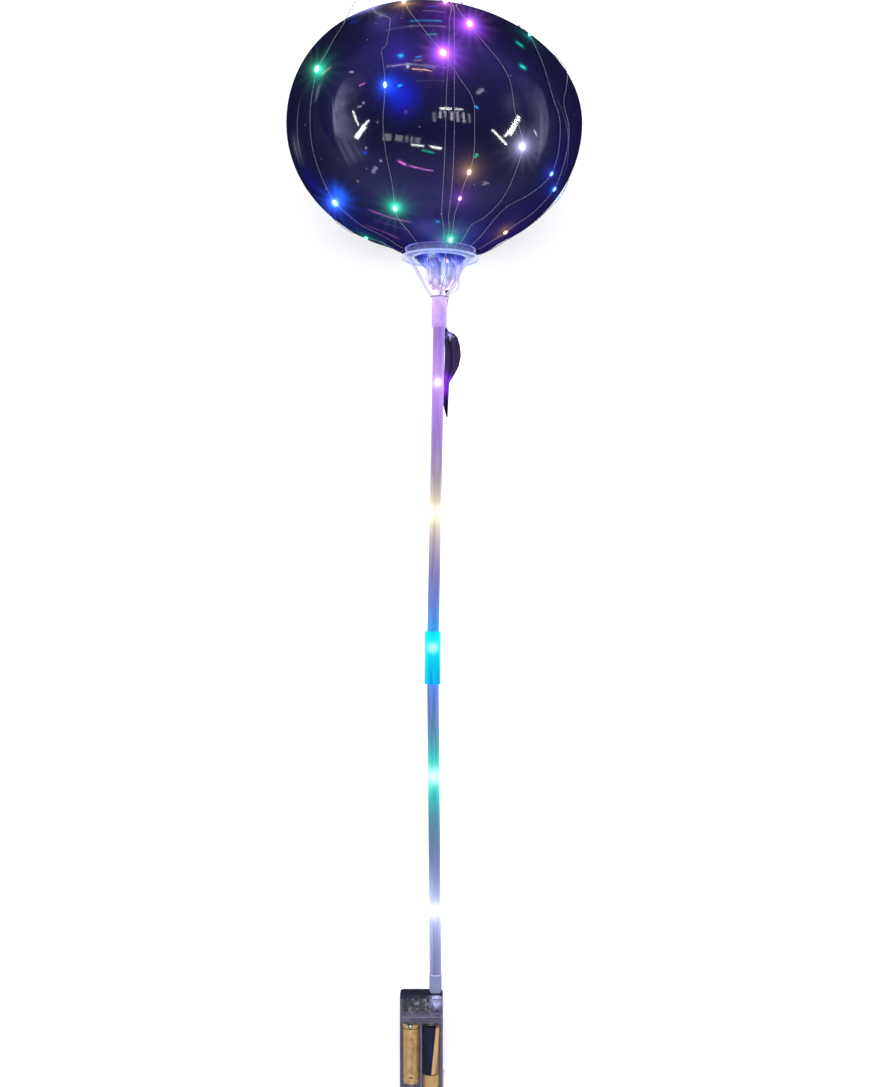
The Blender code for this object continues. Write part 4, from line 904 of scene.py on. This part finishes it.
# Painted highlights along the flange's outer and inner edges and round the collar's top rim.
highlit_rims = (out - FLANGE_OUTER).within(0.0007, 0.0006) + (out - FLANGE_INNER).within(0.0006, 0.0006)
highlit_rims = highlit_rims * height.within(0.0012, 0.0004) + (height - COLLAR_TOP).within(0.0006, 0.0005)
# Below the flange and on the socket the painted glow is brighter and the moulding less clear.
below = height.rise(-0.001, -0.003)
socket = height.rise(-0.0305, -0.0325)
# A dark band painted round the socket's top rim.
dark_rim_band = (height - DARK_BAND_AT).within(0.0004, 0.0002) * out.rise(0.0066, 0.007)
tint = clear.mix(dark_rim_band * 0.8, tint, (0.1, 0.07, 0.18))
shine = highlit_rims * 0.5 + below * 0.2 + socket * 0.1 + 0.42 + (cloud - 0.5) * 0.8
clear.set({
    "Base Color": clear.times(tint, 0.15),
    "Alpha": highlit_rims * 0.65 + below * 0.22 + socket * 0.43 + (cloud - 0.4) * 0.4 + 0.2,
    "Emission Color": clear.times(tint, shine),
    "Normal": clear.bump(cloud, 0.25, 0.0006),
})
add_piece("holder", bm, clear, "balloon_holder")

# Stick
# Two frosted clear tubes and a wider sleeve that joins them. The lights inside tint the tube, most
# strongly beside each light, and the wires show in it as soft darker streaks.
TUBE_OUTER, TUBE_INNER, LOWER_ENDS, UPPER_ENDS = 0.005, 0.004, (0.1023, 0.3665), (0.3675, 0.668)
SLEEVE_OUTER, SLEEVE_INNER, SLEEVE_LENGTH = 0.0068, 0.0056, 0.0441
ROUND_OFF = 0.0002


def pipe(name, outer, inner, foot, top, lean, finish, slot, node):
    """A plain pipe leaning about the stick's joint; foot and top count along the stick."""
    low, high, rim = foot - STICK_JOINT.z, top - STICK_JOINT.z, outer - ROUND_OFF
    bm = bmesh.new()
    spun(bm, (
        (inner, high), (rim, high), (outer, high - ROUND_OFF), (outer, low + ROUND_OFF), (rim, low),
        (inner, low), (inner, high),
    ), 48)
    turn = Matrix.Translation(STICK_JOINT) @ Matrix.Rotation(lean, 4, "Y")
    bmesh.ops.transform(bm, matrix=LYING @ turn, verts=bm.verts)
    add_piece(name, bm, finish, node)


def lit_tube(name, clearness, base, lights, cores):
    """Frosted plastic that takes the colour of the lights inside it: bands of (height, reach, colour),
    and round white cores of (height, reach in mm, colour) on the side towards the front."""
    tube = Finish(name, {
        "Roughness": 0.28, "Specular IOR Level": 0.05, "Coat Weight": 0.04, "Coat Roughness": 0.1,
        "Alpha": clearness, "Emission Strength": 1.0,
    })
    place = tube.place()
    _, _, height = tube.axes(place)
    strands = tube.noise(tube.drawn_out(place, 0.05), 420.0, 2.0)
    colour = tube.times(base, tube.ramp(strands, (0.35, 0.7), (0.65, 1.15)))
    for centre, reach, tint in lights:
        apart = abs(height - centre + (strands - 0.5) * 0.006)
        colour = tube.mix(math.exp(-1) ** ((apart / reach) ** 1.5), colour, tint)
    # A painted sheen: the glow is brighter towards the tube's sides.
    shine = tube.ramp(tube.facing(), (0.0, 0.8), (0.3, 0.86), (0.6, 1.1), (1.0, 0.8))
    glow = tube.times(tube.times(colour, shine), tube.ramp(strands, (0.38, 0.86), (0.62, 1.12)))
    spots = [((stick_x(centre), -TUBE_OUTER, centre), tint, 1.0, reach) for centre, reach, tint in cores]
    tube.set({
        "Base Color": tube.times(colour, 0.08),
        "Emission Color": tube.glow(place, spots, glow, soft=True),
        "Normal": tube.bump(strands, 0.2, 0.0004),
    })
    return tube


frosted = lit_tube("frosted tube", 0.985, (0.22, 0.18, 0.38), (
    (0.67, 0.02, (0.64, 0.4, 0.97)), (VIOLET_AT, 0.06, (0.44, 0.22, 0.92)),
    (VIOLET_AT, 0.022, (0.66, 0.38, 1.0)), (WARM_AT, 0.038, (0.62, 0.52, 0.46)),
    (WARM_AT, 0.015, (0.98, 0.9, 0.68)), (0.369, 0.048, (0.14, 0.16, 0.98)),
    (BLUE_AT, 0.029, (0.0, 0.5, 0.98)), (0.2112, 0.032, (0.13, 0.19, 0.34)),
    (GREEN_AT, 0.038, (0.04, 0.38, 0.5)), (GREEN_AT, 0.021, (0.0, 0.78, 0.68)),
    (GREEN_AT, 0.009, (0.3, 1.05, 0.95)), (0.11, 0.024, (0.23, 0.24, 0.46)),
    (WHITE_AT, 0.036, (0.34, 0.37, 0.78)), (WHITE_AT, 0.02, (0.62, 0.7, 1.05)),
), (
    (VIOLET_AT, 4.0, (0.8, 0.85, 0.6)), (WARM_AT, 7.0, (0.4, 0.4, 0.3)),
    (GREEN_AT, 6.0, (0.55, 0.4, 0.35)), (WHITE_AT, 7.5, (0.6, 0.55, 0.4)),
))
for name, ends, lean, node in (
    ("tube_below", LOWER_ENDS, LOWER_LEAN, "lower_tube"),
    ("tube_above", UPPER_ENDS, UPPER_LEAN, "upper_tube"),
):
    pipe(name, TUBE_OUTER, TUBE_INNER, *ends, lean, frosted, "tube_plastic", node)
lit_sleeve = lit_tube("clear sleeve", 0.995, (0.0, 0.46, 1.0), (
    (0.381, 0.019, (0.0, 0.98, 0.98)),
), ((BLUE_AT, 3.6, (0.7, 0.7, 0.5)),))
pipe(
    "sleeve", SLEEVE_OUTER, SLEEVE_INNER, STICK_JOINT.z - SLEEVE_LENGTH / 2,
    STICK_JOINT.z + SLEEVE_LENGTH / 2, (LOWER_LEAN + UPPER_LEAN) / 2, lit_sleeve, "clear_plastic",
    "connector_sleeve",
)

# Cells
# Two steel-cased cells with a printed gold and navy jacket: a rolled shoulder at each end, a nub
# at one end, a dark ring and plain plus and minus marks.
CELL_RADIUS, CELL_LENGTH, CELL_Y = 0.00725, 0.0505, 0.0004
CELL_PROFILE = (
    (0, 0.0505), (0.0025, 0.0505), (0.0027, 0.0503), (0.0027, 0.0496), (0.0058, 0.0496), (0.0064, 0.0499),
    (0.0069, 0.0498), (CELL_RADIUS, 0.0493), (CELL_RADIUS, 0.0008), (0.0071, 0.0003), (0.0066, 0.0001),
    (0.006, 0.0003), (0.005, 0.0003), (0.0046, 0.0), (0, 0.0),
)


def cell(name, x, foot, positive_up, finish, node):
    bm = bmesh.new()
    spun(bm, CELL_PROFILE, 56)
    turn = Matrix.Identity(4) if positive_up else Matrix.Rotation(math.pi, 4, "X")
    rise = foot if positive_up else foot + CELL_LENGTH
    bmesh.ops.transform(bm, matrix=LYING @ Matrix.Translation((x, CELL_Y, rise)) @ turn, verts=bm.verts)
    add_piece(name, bm, finish, node)


LEFT_X, LEFT_FOOT = -0.0204, 0.01105
RIGHT_X, RIGHT_FOOT = -0.0038, 0.0073
# The marks on the gold jacket: a plus in a disc, a minus, and between them a dark line above a band
# of small worn marks.
PLUS_AT, MINUS_AT, LINE_AT, WORN_AT = 0.0597, 0.0168, 0.0572, 0.035
ARM_HALF, ARM_THICK, EDGE = 0.0014, 0.00045, 0.0001
gold = Finish("gold jacket", {"Metallic": 0.75, "Roughness": 0.3})
place = gold.place()
x, _, z = gold.axes(place)
x = x - LEFT_X
wear = gold.noise(place, 240.0, 3.0)
plus_x, plus_z = x + 0.0004, z - PLUS_AT
disc = ((plus_x * plus_x + plus_z * plus_z) * 1e6).rise(3.6, 4.2, 1.0, 0.0)
wide = plus_x.within(ARM_HALF, EDGE) * plus_z.within(ARM_THICK, EDGE)
tall = plus_x.within(ARM_THICK, EDGE) * plus_z.within(ARM_HALF, EDGE)
minus = (x + 0.0002).within(0.0015, EDGE) * (z - MINUS_AT).within(0.0005, EDGE)
strip = (x - 0.001).within(0.0011, 0.0003) * (z - WORN_AT).within(0.015, 0.001)
jacket = gold.ramp(wear, (0.3, (0.6, 0.35, 0.13)), (0.7, (0.92, 0.61, 0.27)))
for mask, colour in (
    (strip * gold.ramp(gold.noise(place, 900.0, 1.0), (0.44, 0.0), (0.54, 0.85)), (0.24, 0.17, 0.12)),
    ((z - LINE_AT).within(0.0003, 0.0002), (0.05, 0.03, 0.03)), (disc, (0.01, 0.02, 0.03)),
    (wide.sum("MAXIMUM", tall), (0.8, 0.95, 0.98)), (minus, (0.05, 0.05, 0.1)),
):
    jacket = gold.mix(mask, jacket, colour)
gold.set({"Base Color": jacket, "Normal": gold.bump(wear, 0.1, 0.0003)})
cell("cell_left", LEFT_X, LEFT_FOOT, True, gold, "battery_left")

# The navy jacket is gold right of a slanting line, that gold darkened to brown as painted shade, with a
# bright stripe of painted highlight along the line; it has a gold foot with a dark line over it.
FOOT_BAND, FOOT_LINE = 0.01, 0.0188
navy = Finish("navy and gold jacket", {"Metallic": 0.75, "Roughness": 0.3, "Specular IOR Level": 0.2})
place = navy.place()
x, _, z = navy.axes(place)
wear = navy.noise(place, 240.0, 3.0)
slant = x - RIGHT_X - 0.0036 + (z - 0.035) * -0.1
jacket = navy.ramp(wear, (0.3, (0.006, 0.01, 0.035)), (0.7, (0.014, 0.022, 0.07)))
# Right of the slant the gold is darkened to brown as painted shade, and along the slant runs a bright
# painted highlight.
for mask, colour in (
    (slant.rise(0.0, 0.0003), (0.42, 0.26, 0.12)), (slant.within(0.0016, 0.0002), (1.0, 0.62, 0.28)),
    ((z - FOOT_BAND).within(0.0084, 0.0002), (0.9, 0.58, 0.22)),
    ((z - FOOT_LINE).within(0.0003, 0.0001), (0.03, 0.02, 0.03)),
):
    jacket = navy.mix(mask, jacket, colour)
navy.set({"Base Color": jacket, "Normal": navy.bump(wear, 0.1, 0.0003)})
cell("cell_right", RIGHT_X, RIGHT_FOOT, False, navy, "battery_right")

# Battery case
# Smoky clear moulding in two pieces, case and cover, with a round spigot for the stick; the cells,
# the springs and the board show through its walls.


def eased(name, node, width, finish):
    """A plain solid's own shape with its sharp edges rounded, as a mould leaves them."""
    bm = bmesh.new()
    bm.from_mesh(bpy.data.objects[node].data)
    bmesh.ops.remove_doubles(bm, verts=bm.verts, dist=0.000005)
    bmesh.ops.dissolve_limit(bm, angle_limit=math.radians(2), verts=bm.verts, edges=bm.edges)
    sharp = [
        edge for edge in bm.edges
        if len(edge.link_faces) == 2 and edge.calc_face_angle(0) > math.radians(50)
        and edge.calc_length() > 3 * width
    ]
    bmesh.ops.bevel(
        bm, geom=sharp, offset=width, offset_type="OFFSET", segments=2, profile=0.5, affect="EDGES",
        clamp_overlap=True, material=-1,
    )
    bmesh.ops.triangulate(bm, faces=bm.faces)
    add_piece(name, bm, finish, node)


CASE_TOP, CASE_LEDGE, SPIGOT_LINE = 0.085, 0.068, 0.1014
smoky = Finish("smoky clear moulding", {
    "Roughness": 0.14, "Specular IOR Level": 0.0, "Emission Strength": 1.0,
})
place = smoky.place()
side, depth, height = smoky.axes(place)
swirl = smoky.noise(place, 120.0, 3.0)
specks = smoky.noise(place, 330.0, 2.0)
# The spigot is paler and lavender, partly its own colour and partly painted glow, and a painted highlight
# runs round near its top.
spigot = height.rise(0.0863, 0.087)
top_line = (height - SPIGOT_LINE).within(0.0003, 0.0003)
# Painted shade: the case's top face is dark, and nearly opaque.
shaded_top_face = (height - CASE_TOP).within(0.001, 0.0003) * (1 - spigot)
cover = depth.rise(-0.007, -0.0076)
# The upper wall is painted as lit from behind in one blurred spot, and the walls are painted paler towards
# the edge on the right, as lit.
lamp = ((0.0005, -0.0095, 0.0802), (0.52, 0.52, 1.0), 5.5, 3.8)
blob = smoky.glow(place, (lamp,), (0.02, 0.021, 0.03), soft=True)
wall_light = smoky.ramp(
    (side - 0.003) / 0.003, (0.0, (0.055, 0.052, 0.08)), (1.0, (0.125, 0.12, 0.165)),
)
blob = smoky.mix(cover, smoky.times(wall_light, 1 - shaded_top_face * 0.85), blob)
blob = smoky.times(blob, smoky.ramp(specks, (0.4, 0.5), (0.55, 1.2)))
# A paler speckled band along the cover's ledge, painted in as light, where the moulding is also more opaque.
ledge = (height - CASE_LEDGE).within(0.0002, 0.0003) * cover
ledge = ledge * smoky.ramp(specks, (0.4, 0.4), (0.55, 1.0))
blob = smoky.mix(ledge, blob, (0.2, 0.2, 0.3))
walls = smoky.ramp(swirl, (0.3, (0.2, 0.18, 0.28)), (0.7, (0.32, 0.3, 0.44)))
walls = smoky.mix(cover, walls, (0.02, 0.02, 0.03))
see_through = (depth + smoky.facing(0.4) * 0.01).rise(-0.008, 0.006, 0.06, 0.97)
smoky.set({
    "Base Color": smoky.mix(spigot, smoky.mix(shaded_top_face, walls, (0.01, 0.01, 0.02)), (0.1, 0.1, 0.2)),
    "Coat Weight": smoky.ramp(height / 0.0855, (0.0, 0.45), (0.96, 0.45), (0.99, 0.0)),
    "Alpha": see_through + shaded_top_face + spigot * 0.7 + ledge * 0.6,
    "Emission Color": smoky.mix(top_line, smoky.mix(spigot, blob, (0.11, 0.125, 0.2)), (0.42, 0.43, 0.6)),
    "Normal": smoky.bump(swirl, 0.15, 0.0005),
})
eased("case", "battery_case", 0.00025, smoky)
eased("cover", "battery_cover", 0.00025, smoky)

# Contacts and board
# Nickel-plated plates with coiled springs at the cells' ends, and a small dark circuit board with
# its parts, which blinks the lights.
plated = Finish("nickel-plated spring", {"Metallic": 1.0, "Roughness": 0.3})
plated.set({"Base Color": plated.ramp(
    plated.noise(plated.place(), 500.0), (0.3, (0.5, 0.5, 0.54)), (0.7, (0.74, 0.74, 0.78)),
)})
fibre = Finish("circuit board", {"Roughness": 0.45})
fibre.set({"Base Color": fibre.ramp(
    fibre.noise(fibre.place(), 330.0), (0.4, (0.04, 0.045, 0.06)), (0.54, (0.11, 0.11, 0.14)),
    (0.62, (0.34, 0.33, 0.46)),
)})
for node in ("contact_positive", "contact_negative", "contact_bridge"):
    eased(node.replace("contact", "plate"), node, 0.00006, plated)
eased("board", "circuit_board", 0.00012, fibre)

# Star-bursts
# A small lens flare round each bright light, made from the finished picture's brightest points.
scene = bpy.context.scene
scene.use_nodes = True
tree = scene.node_tree
tree.nodes.clear()
layers = tree.nodes.new("CompositorNodeRLayers")
out = tree.nodes.new("CompositorNodeComposite")
link = layers.outputs["Image"]
for kind, sockets in (
    ("STREAKS", {"Threshold": 2.0, "Strength": 0.4, "Streaks": 14, "Iterations": 3, "Fade": 0.7,
                 "Streaks Angle": 0.2, "Color Modulation": 0.0}),
    ("BLOOM", {"Threshold": 2.0, "Strength": 0.06, "Size": 0.1}),
):
    flare = tree.nodes.new("CompositorNodeGlare")
    flare.glare_type = kind
    for name, value in sockets.items():
        flare.inputs[name].default_value = value
    tree.links.new(link, flare.inputs["Image"])
    link = flare.outputs["Image"]
tree.links.new(link, out.inputs["Image"])
